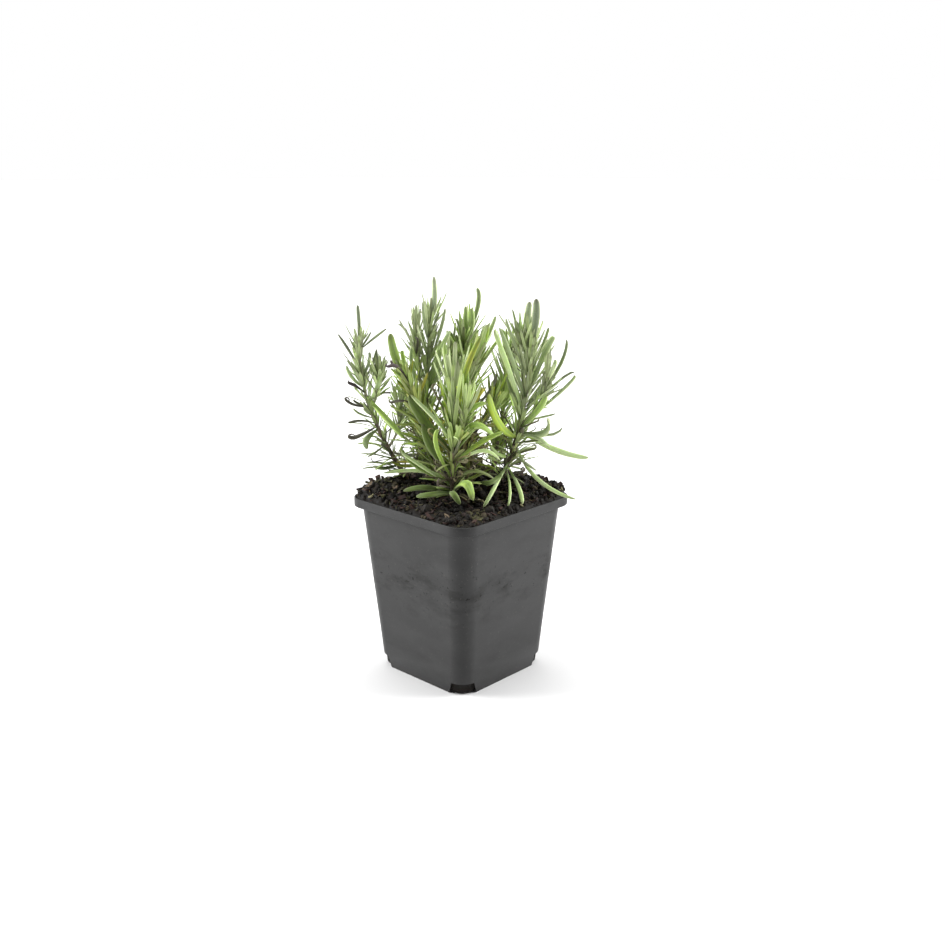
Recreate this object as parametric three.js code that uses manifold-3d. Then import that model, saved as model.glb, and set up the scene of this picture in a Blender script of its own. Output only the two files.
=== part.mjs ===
// A young lavender in a square nursery pot, in millimetres, +Z up, origin under the middle of the pot's
// floor. The pot is thin moulded plastic: rounded corners, a flared rim, and at each bottom corner a drainage
// pocket that opens through a notch. Potting soil fills it and is heaped a little above the rim. Ten leafy
// stems stand in holes in the soil. Leaves grow in opposite pairs, each pair turned a quarter round from the
// last, with a tuft at each tip. The plant's own frame is turned 45 degrees, so its X runs along the pot's
// diagonal and its -Y points at the front corner.
import * as THREE from "three";
import Module from "manifold-3d";

const wasm = await Module();
wasm.setup();
const { Manifold, Mesh } = wasm;

// ---- driving dimensions ----
const POT = {
  height: 100, rimHalf: 45, rimRadius: 11, topHalf: 42.4, topRadius: 12, baseHalf: 33.5, baseRadius: 9,
  wall: 0.9, floor: 1.1, flareFrom: 94.2, flareTo: 95.2,
};
const POCKET = { height: 6.5, start: 33, halfBottom: 7.4, halfTop: 6.2, skin: 1, drainRadius: 2.6 };
const SOIL = {
  gap: 0.3, edge: 99.2, heap: 7.5, frontHeap: 1, heapReach: 2.6, rings: 10, sectors: 40, clods: 70, seed: 5,
};
const STEM = { baseRadius: 1.5, tipRadius: 0.6, rootDepth: 20, hole: 0.5, steps: 6 };
const LEAF = {
  thickness: 0.9, clearance: 0.4, apart: 1.3, setOff: 0.4, face: [0, -0.7, 0.7], long: 36, short: 21,
  tries: 11, seed: 11,
};
const PLANT_TURN = 45;
const COLOURS = { pot: 0x4b4c4e, soil: 0x2a211b, plant: 0x7c9454 };

// ---- the leafy stems, in the plant's frame ----
// root: where it leaves the soil. through: a point half way up. top: where the wood ends and the tip's tuft
// begins. pairs: leaf pairs. leaf: lengths at the foot, middle and top. width: widest blade. spread: degrees
// from the stem at the foot and top. bare: the share of the stem with no leaves. turn: degrees of the first
// pair. sides: side shoots. own: single leaves placed by hand, as [share of height, middle, tip, width].
const STEMS = [
  {
    name: "stem_left", root: [-30, 8], through: [-49, 3, 148], top: [-54, 0, 186], pairs: 9,
    leaf: [15, 15, 13], width: 1.9, spread: [56, 12], bare: 0.14, turn: 20,
    sides: [
      { at: 0.5, through: [-45, -3, 158], top: [-44, -4, 168], pairs: 3, leaf: [12, 13, 13], turn: 50 },
      { at: 0.22, through: [-34, 2, 138], top: [-33, 0, 150], pairs: 4, leaf: [13, 15, 14], turn: 15 },
    ],
    own: [
      [0.99, [-54, 0, 197], [-54, 0, 205], 2.2], [0.78, [-59, -2, 181], [-65, -2, 190], 1.8],
      [0.93, [-46, -3, 188], [-39, -3, 193], 1.7], [0.66, [-58, -2, 167], [-61, -2, 173], 2.4],
      [0.72, [-49, -1, 175], [-49, -1, 180], 2], [0.7, [-47, 1, 174], [-45, 1, 181], 1.9],
      [0.55, [-45, -5, 161], [-43, -5, 171], 3.4], [0.62, [-57, -4, 163], [-61, -4, 164], 2.4],
      [0.52, [-59, 0, 152], [-64, 0, 158], 2], [0.5, [-55, 4, 151], [-60, 4, 154], 1.6],
      [0.44, [-54, -3, 147], [-58, -3, 150], 1.6], [0.4, [-56, -2, 143], [-64, -2, 140], 1.8],
      [0.38, [-57, 3, 133], [-62, 3, 134], 3], [0.36, [-51, -6, 134], [-51, -6, 128], 3.8],
      [0.25, [-46, -3, 126], [-51, -3, 123], 1.4], [0.1, [-41, -4, 117], [-48, -4, 118], 2.4],
      [0.6, [-41, -8, 147], [-30, -8, 134], 3.4], [0.58, [-41, 5, 157], [-31, 5, 155], 1.3],
      [0.3, [-35, 3, 140], [-28, 3, 143], 1.3], [0.16, [-41, 1, 127], [-46, 1, 131], 1.6],
    ],
  },
  {
    name: "stem_tall", root: [-17, 10], through: [-18.5, 10, 152], top: [-15.5, 11, 198], pairs: 14,
    leaf: [20, 21, 17], width: 2.1, spread: [54, 12], bare: 0.1, turn: 65,
    sides: [
      { at: 0.44, through: [-23, 8, 168], top: [-24, 8, 189], pairs: 6, leaf: [15, 16, 16], turn: 10 },
      { at: 0.3, through: [-9, 14, 158], top: [-5, 16, 174], pairs: 4, leaf: [18, 20, 18], turn: 30 },
    ],
    own: [
      [0.6, [-28, 8, 188], [-34, 8, 193], 1.7], [0.7, [-11, 8, 190], [-8, 8, 202], 2],
      [0.99, [-14, 10, 206], [-14, 10, 219], 3.3], [0.85, [-19, 6, 195], [-20, 6, 206], 2.2],
      [0.6, [-11, 2, 180], [-6, 2, 191], 3], [0.55, [-13, 3, 172], [-11, 3, 186], 3.4],
      [0.42, [-26, 4, 171], [-25, 4, 184], 2.2], [0.5, [-13, 6, 165], [-9, 6, 176], 2.4],
    ],
  },
  {
    name: "stem_back", root: [-2, 15], through: [0.5, 16, 150], top: [5, 16, 188], pairs: 13,
    leaf: [20, 22, 18], width: 2.2, spread: [54, 12], bare: 0.12, turn: 0,
    sides: [{ at: 0.48, through: [1, 11, 170], top: [1.5, 10, 184], pairs: 5, leaf: [15, 17, 17], turn: 35 }],
    own: [
      [0.99, [10, 16, 203], [9, 16, 212], 2.9], [0.72, [0, 12, 190], [-3, 12, 196], 1.7],
      [0.85, [3, 10, 193], [3, 10, 203], 2.8], [0.88, [6, 9, 193], [6, 9, 202], 3.2],
      [0.6, [-2, 9, 179], [-6, 9, 190], 2.2], [0.66, [10, 13, 182], [12, 13, 190], 2.2],
    ],
  },
  {
    name: "stem_right", root: [22, 2], through: [33.5, 0, 145], top: [37.5, 2, 184], pairs: 12,
    leaf: [18, 24, 20], width: 2.4, spread: [56, 11], bare: 0.2, turn: 45,
    sides: [
      { at: 0.42, through: [42, -3, 152], top: [46, -4, 164], pairs: 3, leaf: [16, 18, 18], turn: 80 },
      { at: 0.56, through: [33, 4, 174], top: [32, 5, 184], pairs: 3, leaf: [17, 18, 18], turn: 25 },
    ],
    own: [
      [0.94, [36, 4, 195], [37, 4, 206], 4.4], [0.96, [40, 0, 196], [40, 0, 208], 4.6],
      [0.75, [27, -4, 189], [24, -4, 198], 1.8], [0.8, [33, 6, 186], [30, 6, 196], 1.7],
      [0.74, [45, 3, 185], [47, 3, 192], 1.9], [0.66, [45, -4, 181], [50, -4, 188], 3.8],
      [0.5, [52, 3, 169], [57, 3, 186], 2.2], [0.48, [47, -4, 167], [50, -4, 176], 2.8],
      [0.52, [54, 7, 163], [62, 7, 167], 1.7], [0.42, [54, -6, 160], [61, -6, 168], 2.2],
      [0.4, [41, -9, 150], [45, -9, 158], 4], [0.44, [44, 4, 143], [52, 4, 145], 1.5],
      [0.38, [44, -11, 138], [46, -11, 146], 5], [0.36, [48, -4, 135], [55, -4, 139], 1.9],
      [0.4, [50, -3, 127], [70, -3, 122], 3.9], [0.37, [41, -10, 135], [48, -10, 129], 2.4],
      [0.3, [41, -10, 112.4], [62, -16, 102], 2.6], [0.15, [18, -24, 112.5], [11, -33, 103], 2.3],
      [0.1, [26, -22, 110], [24, -31, 102.5], 1.6], [0.12, [31, -18, 109.5], [32, -27, 102.8], 2.5],
      [0.12, [18, -22, 115], [10, -22, 113], 3.2], [0.62, [28, -9, 176], [20, -9, 194], 2.8],
      [0.52, [25, -15, 174], [17, -17, 194], 3.2], [0.34, [21, -15, 143], [15, -15, 160], 5.2],
      [0.5, [28, 8, 163], [29, 8, 178], 5.6], [0.2, [34, -8, 121], [41, -8, 116], 1.8],
      [0.22, [21, -12, 126], [14, -12, 134], 2.6],
    ],
  },
  {
    name: "stem_front", root: [-5, -20], through: [-4.5, -21, 132], top: [-4, -20, 164], pairs: 9,
    leaf: [26, 30, 28], width: 3.2, spread: [34, 7], bare: 0.44, turn: 20,
    sides: [{ at: 0.42, through: [0, -25, 140], top: [2, -27, 152], pairs: 2, leaf: [18, 22, 22], turn: 60 }],
    own: [
      [0.06, [2, -34, 117], [6, -34, 107], 5.2], [0.04, [-18, -25, 112], [-31, -25, 110], 3.4],
      [0.05, [-14, -33, 111], [-24, -33, 109], 3.4], [0.16, [-23, -16, 120], [-32, -16, 132], 2],
      [0.45, [-18, -17, 144], [-27, -17, 160], 5.6], [0.55, [-14, -25, 149], [-26, -25, 162], 2.4],
      [0.3, [-15, -20, 131], [-20, -20, 145], 4.6], [0.2, [-13, -28, 135], [-12, -28, 144], 2.6],
      [0.35, [9, -26, 136], [22, -26, 142], 3], [0.5, [6, -22, 145], [18, -22, 138], 4.4],
      [0.62, [4, -24, 153], [13, -24, 157], 3.4], [0.02, [-5, -38, 113], [-1, -38, 106], 3.6],
      [0.1, [-17, -12, 117], [-42, -12, 116], 2.6], [0.08, [4, -27, 121], [17, -27, 117], 2.2],
    ],
  },
  {
    name: "stem_middle", root: [6, -6], through: [1, -10, 144], top: [7, -11, 176], pairs: 11,
    leaf: [22, 26, 22], width: 2.7, spread: [52, 10], bare: 0.1, turn: 75,
    sides: [{ at: 0.4, through: [13, -3, 142], top: [17, -1, 152], pairs: 3, leaf: [16, 20, 20], turn: 20 }],
    own: [
      [0.96, [14, -8, 189], [18, -8, 200], 2.4], [0.8, [10, -10, 182], [14, -9, 195], 4.4],
      [0.6, [8, -18, 160], [11, -18, 164], 4.2], [0.75, [15, -4, 180], [20, -4, 187], 2],
      [0.5, [17, -2, 162], [16, -2, 169], 2.2], [0.3, [12, 2, 142], [14, 2, 149], 2.6],
    ],
  },
  {
    name: "stem_near_left", root: [-12, -8], through: [-20, -9, 142], top: [-29, -9, 168], pairs: 9,
    leaf: [22, 22, 12], width: 2.8, spread: [58, 18], bare: 0.1, turn: 10, sides: [],
    own: [
      [0.96, [-34, -8, 178], [-37, -8, 191], 4.9], [0.85, [-34, -13, 175], [-43, -13, 169], 2.6],
      [0.9, [-34, -5, 173], [-39, -5, 175], 2], [0.7, [-33, -12, 156], [-39, -12, 153], 2],
      [0.5, [-30, -6, 148], [-34, -6, 143], 1.6], [0.8, [-30, -3, 175], [-31, -3, 181], 2.4],
      [0.5, [-27, -12, 143], [-35, -12, 143], 1.8], [0.25, [-31, -6, 125], [-40, -6, 128], 1.8],
      [0.15, [-29, -4, 118], [-38, -4, 121], 2],
    ],
  },
  {
    name: "stem_rear_right", root: [18, 17], through: [24, 18, 144], top: [26, 19, 174], pairs: 11,
    leaf: [20, 24, 20], width: 2.5, spread: [56, 13], bare: 0.14, turn: 30, sides: [],
    own: [[0.9, [26, 19, 183], [22, 19, 189], 2.4]],
  },
  {
    name: "stem_rear_left", root: [-16, 24], through: [-25, 28, 134], top: [-29, 30, 152], pairs: 9,
    leaf: [16, 20, 18], width: 2.1, spread: [60, 18], bare: 0.15, turn: 55, sides: [], own: [],
  },
  {
    name: "stem_rear", root: [3, 33], through: [4, 39, 142], top: [7, 43, 170], pairs: 11,
    leaf: [20, 24, 20], width: 2.4, spread: [58, 16], bare: 0.15, turn: 15, sides: [], own: [],
  },
];

// ---- small tools ----
const rad = THREE.MathUtils.degToRad;
const vec = (x, y, z) => new THREE.Vector3(x, y, z);
const mix = (a, b, t) => a + (b - a) * t;

// Repeatable draws from 0 to 1, by the minimal standard generator.
function drawFrom(seed) {
  let state = seed;
  return () => (state = (state * 16807) % 2147483647) / 2147483647;
}

// A closed solid through rings of points, each counter-clockwise about the way the rings run. Its last ring
// may be one point. The ends are closed by fans.
function loft(rings) {
  const n = rings[0].length;
  const points = rings.flat();
  const triangles = [];
  for (let j = 1; j < n - 1; j++) triangles.push(0, j + 1, j);
  rings.slice(1).forEach((ring, i) => {
    const low = i * n;
    const high = low + n;
    for (let j = 0; j < n; j++) {
      const next = (j + 1) % n;
      if (ring.length === 1) triangles.push(low + j, low + next, high);
      else triangles.push(low + j, low + next, high + next, low + j, high + next, high + j);
    }
  });
  const end = (rings.length - 1) * n;
  if (rings.at(-1).length > 1) for (let j = 1; j < n - 1; j++) triangles.push(end, end + j, end + j + 1);
  const vertProperties = new Float32Array(points.flatMap((p) => [p.x, p.y, p.z]));
  return new Manifold(new Mesh({ numProp: 3, vertProperties, triVerts: new Uint32Array(triangles) }));
}

// The largest body of a solid, without the sealed gaps that crossing blades may close off.
const bodyOf = (solid) => solid.decompose().reduce((a, b) => (b.volume() > a.volume() ? b : a));

// A named mesh from a solid.
function meshOf(name, solid, colour, roughness) {
  const made = solid.getMesh();
  const geometry = new THREE.BufferGeometry();
  geometry.setAttribute("position", new THREE.BufferAttribute(made.vertProperties, 3));
  geometry.setIndex(new THREE.BufferAttribute(made.triVerts, 1));
  geometry.computeVertexNormals();
  const finish = new THREE.MeshStandardMaterial({ color: colour, roughness, metalness: 0 });
  const mesh = new THREE.Mesh(geometry, finish);
  mesh.name = name;
  return mesh;
}

// A square outline with round corners at one height, counter-clockwise from above.
function roundSquare(half, radius, z, cornerSteps = 6) {
  const ring = [];
  for (let corner = 0; corner < 4; corner++) {
    const turn = corner * 90;
    const cx = Math.SQRT2 * (half - radius) * Math.cos(rad(turn + 45));
    const cy = Math.SQRT2 * (half - radius) * Math.sin(rad(turn + 45));
    for (let i = 0; i <= cornerSteps; i++) {
      const a = rad(turn + (90 * i) / cornerSteps);
      ring.push(vec(cx + radius * Math.cos(a), cy + radius * Math.sin(a), z));
    }
  }
  return ring;
}

// ---- pot ----
// Half width and corner radius of the pot's outside at a height below the flare.
function wallAt(z) {
  const t = z / POT.height;
  return [mix(POT.baseHalf, POT.topHalf, t), mix(POT.baseRadius, POT.topRadius, t)];
}

// Rings of the pot's outside, drawn in by inset, from the height given up to the top.
function potRings(inset, bottom, top) {
  const [lowHalf, lowRadius] = wallAt(bottom);
  const [half, radius] = wallAt(POT.flareFrom);
  return [
    roundSquare(lowHalf - inset, lowRadius - inset, bottom),
    roundSquare(half - inset, radius - inset, POT.flareFrom + inset),
    roundSquare(POT.rimHalf - inset, POT.rimRadius - inset, POT.flareTo + inset),
    roundSquare(POT.rimHalf - inset, POT.rimRadius - inset, top),
  ];
}

// The four corner blocks that the drainage pockets take up, grown on their inner sides.
function pocketBlocks(grow, bottom) {
  const top = POCKET.height + grow;
  const inner = POCKET.start - grow;
  const outer = POT.baseHalf * Math.SQRT2 + 5;
  const [low, high] = [POCKET.halfBottom + grow, POCKET.halfTop + grow];
  const rings = [
    [vec(inner, -low, bottom), vec(outer, -low, bottom), vec(outer, low, bottom), vec(inner, low, bottom)],
    [vec(inner, -high, top), vec(outer, -high, top), vec(outer, high, top), vec(inner, high, top)],
  ];
  const blocks = [45, 135, 225, 315].map((turn) => loft(rings).rotate([0, 0, turn]));
  return Manifold.union(blocks);
}

// A round hole or plug, standing on its axis.
function drum(x, y, low, high, lowRadius, highRadius, sides = 8) {
  const ring = (radius, z) =>
    Array.from({ length: sides }, (_, i) => {
      const a = rad(((i + 0.5) * 360) / sides);
      return vec(x + radius * Math.cos(a), y + radius * Math.sin(a), z);
    });
  return loft([ring(lowRadius, low), ring(highRadius, high)]);
}

function makePot() {
  const cavity = loft(potRings(POT.wall, POT.floor, POT.height + 1)).subtract(pocketBlocks(POCKET.skin, -1));
  const shell = loft(potRings(0, 0, POT.height)).subtract(cavity).subtract(pocketBlocks(0, -1));
  const drainAt = POCKET.start + POCKET.drainRadius + 0.8;
  const drains = [45, 135, 225, 315].map((turn) => {
    const [x, y] = [drainAt * Math.cos(rad(turn)), drainAt * Math.sin(rad(turn))];
    const radius = POCKET.drainRadius;
    return drum(x, y, POCKET.height - 1, POCKET.height + POCKET.skin + 1, radius, radius, 12);
  });
  return shell.subtract(Manifold.union(drains));
}

// ---- soil ----
const clods = (() => {
  const draw = drawFrom(SOIL.seed);
  return Array.from({ length: SOIL.clods }, () => {
    const reach = 2.6 + 3.4 * draw();
    return { x: 82 * (draw() - 0.5), y: 82 * (draw() - 0.5), reach, rise: (0.25 + 0.3 * draw()) * reach };
  });
})();

// How far a point of the pot's frame lies outside the rim, less than 0 inside it.
function beyondRim(x, y) {
  const [dx, dy] = [x, y].map((v) => Math.abs(v) - POT.rimHalf + POT.rimRadius);
  return Math.hypot(Math.max(dx, 0), Math.max(dy, 0)) + Math.min(Math.max(dx, dy), 0) - POT.rimRadius;
}

// Height of the soil's surface at a point of the pot's frame: heaped at the sides and back, low at the front.
function soilHeight(x, y) {
  const inward = -beyondRim(x, y) - POT.wall;
  const depth = (y - x) / Math.SQRT2;
  const heap = mix(SOIL.frontHeap, SOIL.heap, THREE.MathUtils.smoothstep(depth, -38, 4));
  let z = SOIL.edge + heap * (1 - Math.exp(-Math.max(inward, 0) / SOIL.heapReach));
  for (const clod of clods) {
    const share = ((x - clod.x) ** 2 + (y - clod.y) ** 2) / clod.reach ** 2;
    if (share < 1) z += clod.rise * (1 - share) * Math.min(1, Math.max(inward, 0) / 2);
  }
  return z;
}

// The same height, at a point of the plant's frame.
const plantTurn = rad(PLANT_TURN);
const toPot = (x, y) => [
  x * Math.cos(plantTurn) - y * Math.sin(plantTurn),
  x * Math.sin(plantTurn) + y * Math.cos(plantTurn),
];
const soilUnder = (x, y) => soilHeight(...toPot(x, y));

function makeSoil(holes) {
  const inset = POT.wall + SOIL.gap;
  const bottom = POT.floor + SOIL.gap;
  const side = potRings(inset, bottom, SOIL.edge);
  const resampled = side.map((ring) => resample(ring, SOIL.sectors));
  const outline = resampled.at(-1);
  const rings = [...resampled];
  for (let i = SOIL.rings - 1; i >= 1; i--) {
    const share = i / SOIL.rings;
    rings.push(outline.map((p) => vec(p.x * share, p.y * share, soilHeight(p.x * share, p.y * share))));
  }
  rings.push([vec(0, 0, soilHeight(0, 0))]);
  return loft(rings).subtract(pocketBlocks(POCKET.skin + SOIL.gap, -1)).subtract(holes);
}

// A closed ring as the points where evenly spaced spokes from the middle meet it.
function resample(ring, count) {
  return Array.from({ length: count }, (_, k) => {
    const a = (2 * Math.PI * (k + 0.5)) / count;
    const [dx, dy] = [Math.cos(a), Math.sin(a)];
    for (let j = 0; j < ring.length; j++) {
      const [p, q] = [ring[j], ring[(j + 1) % ring.length]];
      const [sp, sq] = [dx * p.y - dy * p.x, dx * q.y - dy * q.x];
      if (sp <= 0 && sq > 0) {
        const t = sp / (sp - sq);
        return vec(mix(p.x, q.x, t), mix(p.y, q.y, t), p.z);
      }
    }
  });
}

// ---- stems and leaves ----
// A curve that starts at a, passes through b half way, and ends at c.
function arcThrough(a, b, c) {
  const control = b.clone().multiplyScalar(2).addScaledVector(a, -0.5).addScaledVector(c, -0.5);
  return new THREE.QuadraticBezierCurve3(a, control, c);
}

// The stem's square section at a point, with its corners round the way that the stem runs.
function squareRing(centre, along, radius) {
  const side = vec(1, 0, 0).addScaledVector(along, -along.x).normalize();
  const up = along.clone().cross(side);
  return [0, 90, 180, 270].map((turn) => {
    const [s, u] = [radius * Math.cos(rad(turn)), radius * Math.sin(rad(turn))];
    return centre.clone().addScaledVector(side, s).addScaledVector(up, u);
  });
}

function stemSolid(shoot) {
  const rings = [];
  for (let i = 0; i <= STEM.steps; i++) {
    const t = i / STEM.steps;
    const radius = mix(shoot.radius, STEM.tipRadius, t);
    rings.push(squareRing(shoot.curve.getPoint(t), shoot.curve.getTangent(t), radius));
  }
  if (shoot.buried) {
    const foot = shoot.curve.getPoint(0);
    rings.unshift(squareRing(vec(foot.x, foot.y, foot.z - 1), vec(0, 0, 1), shoot.radius));
    rings.unshift(squareRing(vec(foot.x, foot.y, foot.z - STEM.rootDepth), vec(0, 0, 1), shoot.radius));
  }
  return loft(rings);
}

// Share of the full width along a blade: narrow at its foot, widest past the middle, blunt at its tip.
function bladeWidth(t) {
  const swell = Math.sin((Math.min(1, t / 0.62) * Math.PI) / 2);
  return 0.3 + 0.7 * swell - 0.75 * Math.max(0, t - 0.62);
}

// Where a blade's sections stand: a long blade bends more, so it has more of them.
function bladeStops(length) {
  if (length > LEAF.long) return [0, 0.26, 0.55, 0.84];
  return length > LEAF.short ? [0, 0.4, 0.8] : [0, 0.6];
}

function bladeSolid(leaf) {
  const rings = bladeStops(leaf.length).map((t) => {
    const centre = leaf.curve.getPoint(t);
    const along = leaf.curve.getTangent(t);
    const side = leaf.side.clone().addScaledVector(along, -leaf.side.dot(along)).normalize();
    const up = along.clone().cross(side);
    const half = (leaf.width * bladeWidth(t)) / 2;
    const at = (s, u) => centre.clone().addScaledVector(side, s).addScaledVector(up, u);
    return [at(half, LEAF.thickness / 2), at(-half, LEAF.thickness / 2), at(0, -LEAF.thickness / 2)];
  });
  return loft([...rings, [leaf.curve.getPoint(1)]]);
}

// Everything placed so far, as short rods: {a, b, radius, node, woody}.
const rods = [];
function addRods(curve, radiusAt, node, count, woody) {
  for (let i = 0; i < count; i++) {
    const [t0, t1] = [i / count, (i + 1) / count];
    const radius = Math.max(radiusAt(t0), radiusAt(t1));
    rods.push({ a: curve.getPoint(t0), b: curve.getPoint(t1), radius, node, woody });
  }
}

function distanceToRod(p, rod) {
  const ab = rod.b.clone().sub(rod.a);
  const t = THREE.MathUtils.clamp(p.clone().sub(rod.a).dot(ab) / ab.lengthSq(), 0, 1);
  return rod.a.clone().addScaledVector(ab, t).distanceTo(p);
}

// True where a leaf keeps clear of the soil, the rim and every other leafy stem.
function isClear(leaf, node, apart) {
  const samples = 13;
  for (let i = 1; i <= samples; i++) {
    const t = i / samples;
    const p = leaf.curve.getPoint(t);
    const half = (leaf.width * bladeWidth(t)) / 2;
    const [x, y] = toPot(p.x, p.y);
    const overPot = beyondRim(x, y) < half + 1;
    if (overPot && p.z < Math.max(POT.height, soilHeight(x, y)) + half * 0.6 + LEAF.clearance) return false;
    for (const rod of rods) {
      if (rod.node === node && (rod.woody || t < 0.3)) continue;
      const room = rod.node === node ? apart : rod.radius + half + LEAF.clearance;
      if (distanceToRod(p, rod) < room) return false;
    }
  }
  return true;
}

// A leaf that leaves the stem at an angle and then sags or curls in, as a curve with its side direction.
function ruleLeaf(node, along, turn, spread, length, sag, width, twist) {
  const side = vec(1, 0, 0).addScaledVector(along, -along.x).normalize();
  const outward = side.clone().applyAxisAngle(along, rad(turn));
  const foot = node.clone().addScaledVector(outward, LEAF.setOff);
  const [ahead, aside] = [Math.cos(rad(spread)), Math.sin(rad(spread))];
  const start = along.clone().multiplyScalar(ahead).addScaledVector(outward, aside);
  const tip = foot.clone().addScaledVector(start, length).add(vec(0, 0, -sag * length));
  const middle = foot.clone().addScaledVector(start, length / 2);
  const across = along.clone().cross(outward).applyAxisAngle(start, rad(twist));
  return { curve: new THREE.QuadraticBezierCurve3(foot, middle, tip), side: across, width, length };
}

// A leaf placed by hand: from the stem, through its middle, to its tip, with its face up and to the front.
function ownLeaf(foot, middle, tip, width) {
  const run = tip.clone().sub(foot);
  const side = vec(...LEAF.face).cross(run).normalize();
  return { curve: arcThrough(foot, middle, tip), side, width, length: run.length() };
}

const draw = drawFrom(LEAF.seed);
const near = (middle, share) => middle * (1 + share * (2 * draw() - 1));

// Grows one leaf, bending it clear of its neighbours, and returns it, or nothing where there is no room.
function grow(node, foot, along, turn, spread, length, sag, width) {
  const [turn0, spread0] = [turn + 24 * (draw() - 0.5), near(spread, 0.14)];
  const [length0, sag0] = [near(length, 0.16), sag + 0.12 * (draw() - 0.5)];
  const [width0, twist] = [near(width, 0.15), 50 * (draw() - 0.5)];
  for (let i = 0; i < LEAF.tries; i++) {
    const swing = (i % 2 ? 1 : -1) * 11 * Math.ceil(i / 2);
    const ease = 1 - 0.07 * i;
    const leaf = ruleLeaf(
      foot, along, turn0 + swing, spread0 * ease, length0 * (1 - 0.035 * i), sag0 * ease, width0, twist,
    );
    if (isClear(leaf, node, LEAF.apart)) return leaf;
  }
}

// The pairs up one shoot, then the tuft at its tip.
function leavesOf(shoot) {
  const leaves = [];
  const [foot, middle, top] = shoot.leaf;
  for (let i = 0; i < shoot.pairs; i++) {
    const up = i / Math.max(1, shoot.pairs - 1);
    const t = mix(shoot.bare, 0.95, up);
    const length = up < 0.5 ? mix(foot, middle, 2 * up) : mix(middle, top, 2 * up - 1);
    const spread = mix(shoot.spread[0], shoot.spread[1] + 14, up);
    const sag = mix(0.22, -0.04, Math.sqrt(up));
    for (const half of [0, 180]) {
      const turn = shoot.turn + 90 * i + half;
      const width = shoot.width * mix(0.85, 1, up);
      leaves.push([shoot.curve.getPoint(t), shoot.curve.getTangent(t), turn, spread, length, sag, width]);
    }
  }
  for (let i = 0; i < 5; i++) {
    const spread = i === 0 ? 3 : shoot.spread[1] * 0.8;
    const length = top * (i === 0 ? 1 : 0.86);
    const turn = shoot.turn + 40 + 72 * i;
    const [place, along] = [shoot.curve.getPoint(0.985), shoot.curve.getTangent(1)];
    leaves.push([place, along, turn, spread, length, -0.02, shoot.width * 0.9]);
  }
  return leaves;
}

// ---- build ----
const group = new THREE.Group();
const plant = new THREE.Group();
plant.rotation.z = plantTurn;
group.add(plant);

const shootsOf = new Map();
for (const stem of STEMS) {
  const ground = soilUnder(...stem.root);
  const curve = arcThrough(vec(...stem.root, ground + 1), vec(...stem.through), vec(...stem.top));
  const main = { ...stem, curve, radius: STEM.baseRadius, buried: true };
  const sides = stem.sides.map((side) => {
    const start = curve.getPoint(side.at);
    const sideCurve = arcThrough(start, vec(...side.through), vec(...side.top));
    const shape = { spread: [50, stem.spread[1]], bare: 0.35, width: stem.width, ...side };
    return { ...shape, curve: sideCurve, radius: STEM.baseRadius * 0.6 };
  });
  shootsOf.set(stem.name, [main, ...sides]);
  for (const shoot of [main, ...sides]) {
    addRods(shoot.curve, (t) => mix(shoot.radius, STEM.tipRadius, t) * 1.1, stem.name, STEM.steps, true);
  }
}

const halfWidthOf = (leaf) => (t) => (leaf.width * bladeWidth(t)) / 2;
const leafRods = (leaf, node) => addRods(leaf.curve, halfWidthOf(leaf), node, 6, false);
const bladesOf = new Map(STEMS.map((stem) => [stem.name, []]));
for (const stem of STEMS) {
  const main = shootsOf.get(stem.name)[0];
  for (const [at, middle, tip, width] of stem.own) {
    const leaf = ownLeaf(main.curve.getPoint(at), vec(...middle), vec(...tip), width);
    if (!isClear(leaf, stem.name, 0)) continue;
    bladesOf.get(stem.name).push(leaf);
    leafRods(leaf, stem.name);
  }
}
for (const stem of STEMS) {
  for (const shoot of shootsOf.get(stem.name)) {
    for (const asked of leavesOf(shoot)) {
      const leaf = grow(stem.name, ...asked);
      if (!leaf) continue;
      bladesOf.get(stem.name).push(leaf);
      leafRods(leaf, stem.name);
    }
  }
}

const holes = STEMS.map((stem) => {
  const ground = soilUnder(...stem.root);
  const [x, y] = toPot(...stem.root);
  const radius = (STEM.baseRadius + STEM.hole) / Math.cos(rad(22.5));
  const shaft = drum(x, y, ground - STEM.rootDepth - STEM.hole, ground + 0.4, radius, radius);
  return shaft.add(drum(x, y, ground - 0.4, ground + 6, radius, radius + 5));
});

group.add(meshOf("pot", makePot(), COLOURS.pot, 0.45));
group.add(meshOf("potting_soil", makeSoil(Manifold.union(holes)), COLOURS.soil, 1));
for (const stem of STEMS) {
  const solids = [...shootsOf.get(stem.name).map(stemSolid), ...bladesOf.get(stem.name).map(bladeSolid)];
  plant.add(meshOf(stem.name, bodyOf(Manifold.union(solids)), COLOURS.plant, 0.8));
}

export default group;
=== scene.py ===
import math

import bpy
import numpy as np
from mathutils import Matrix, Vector, noise


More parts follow.
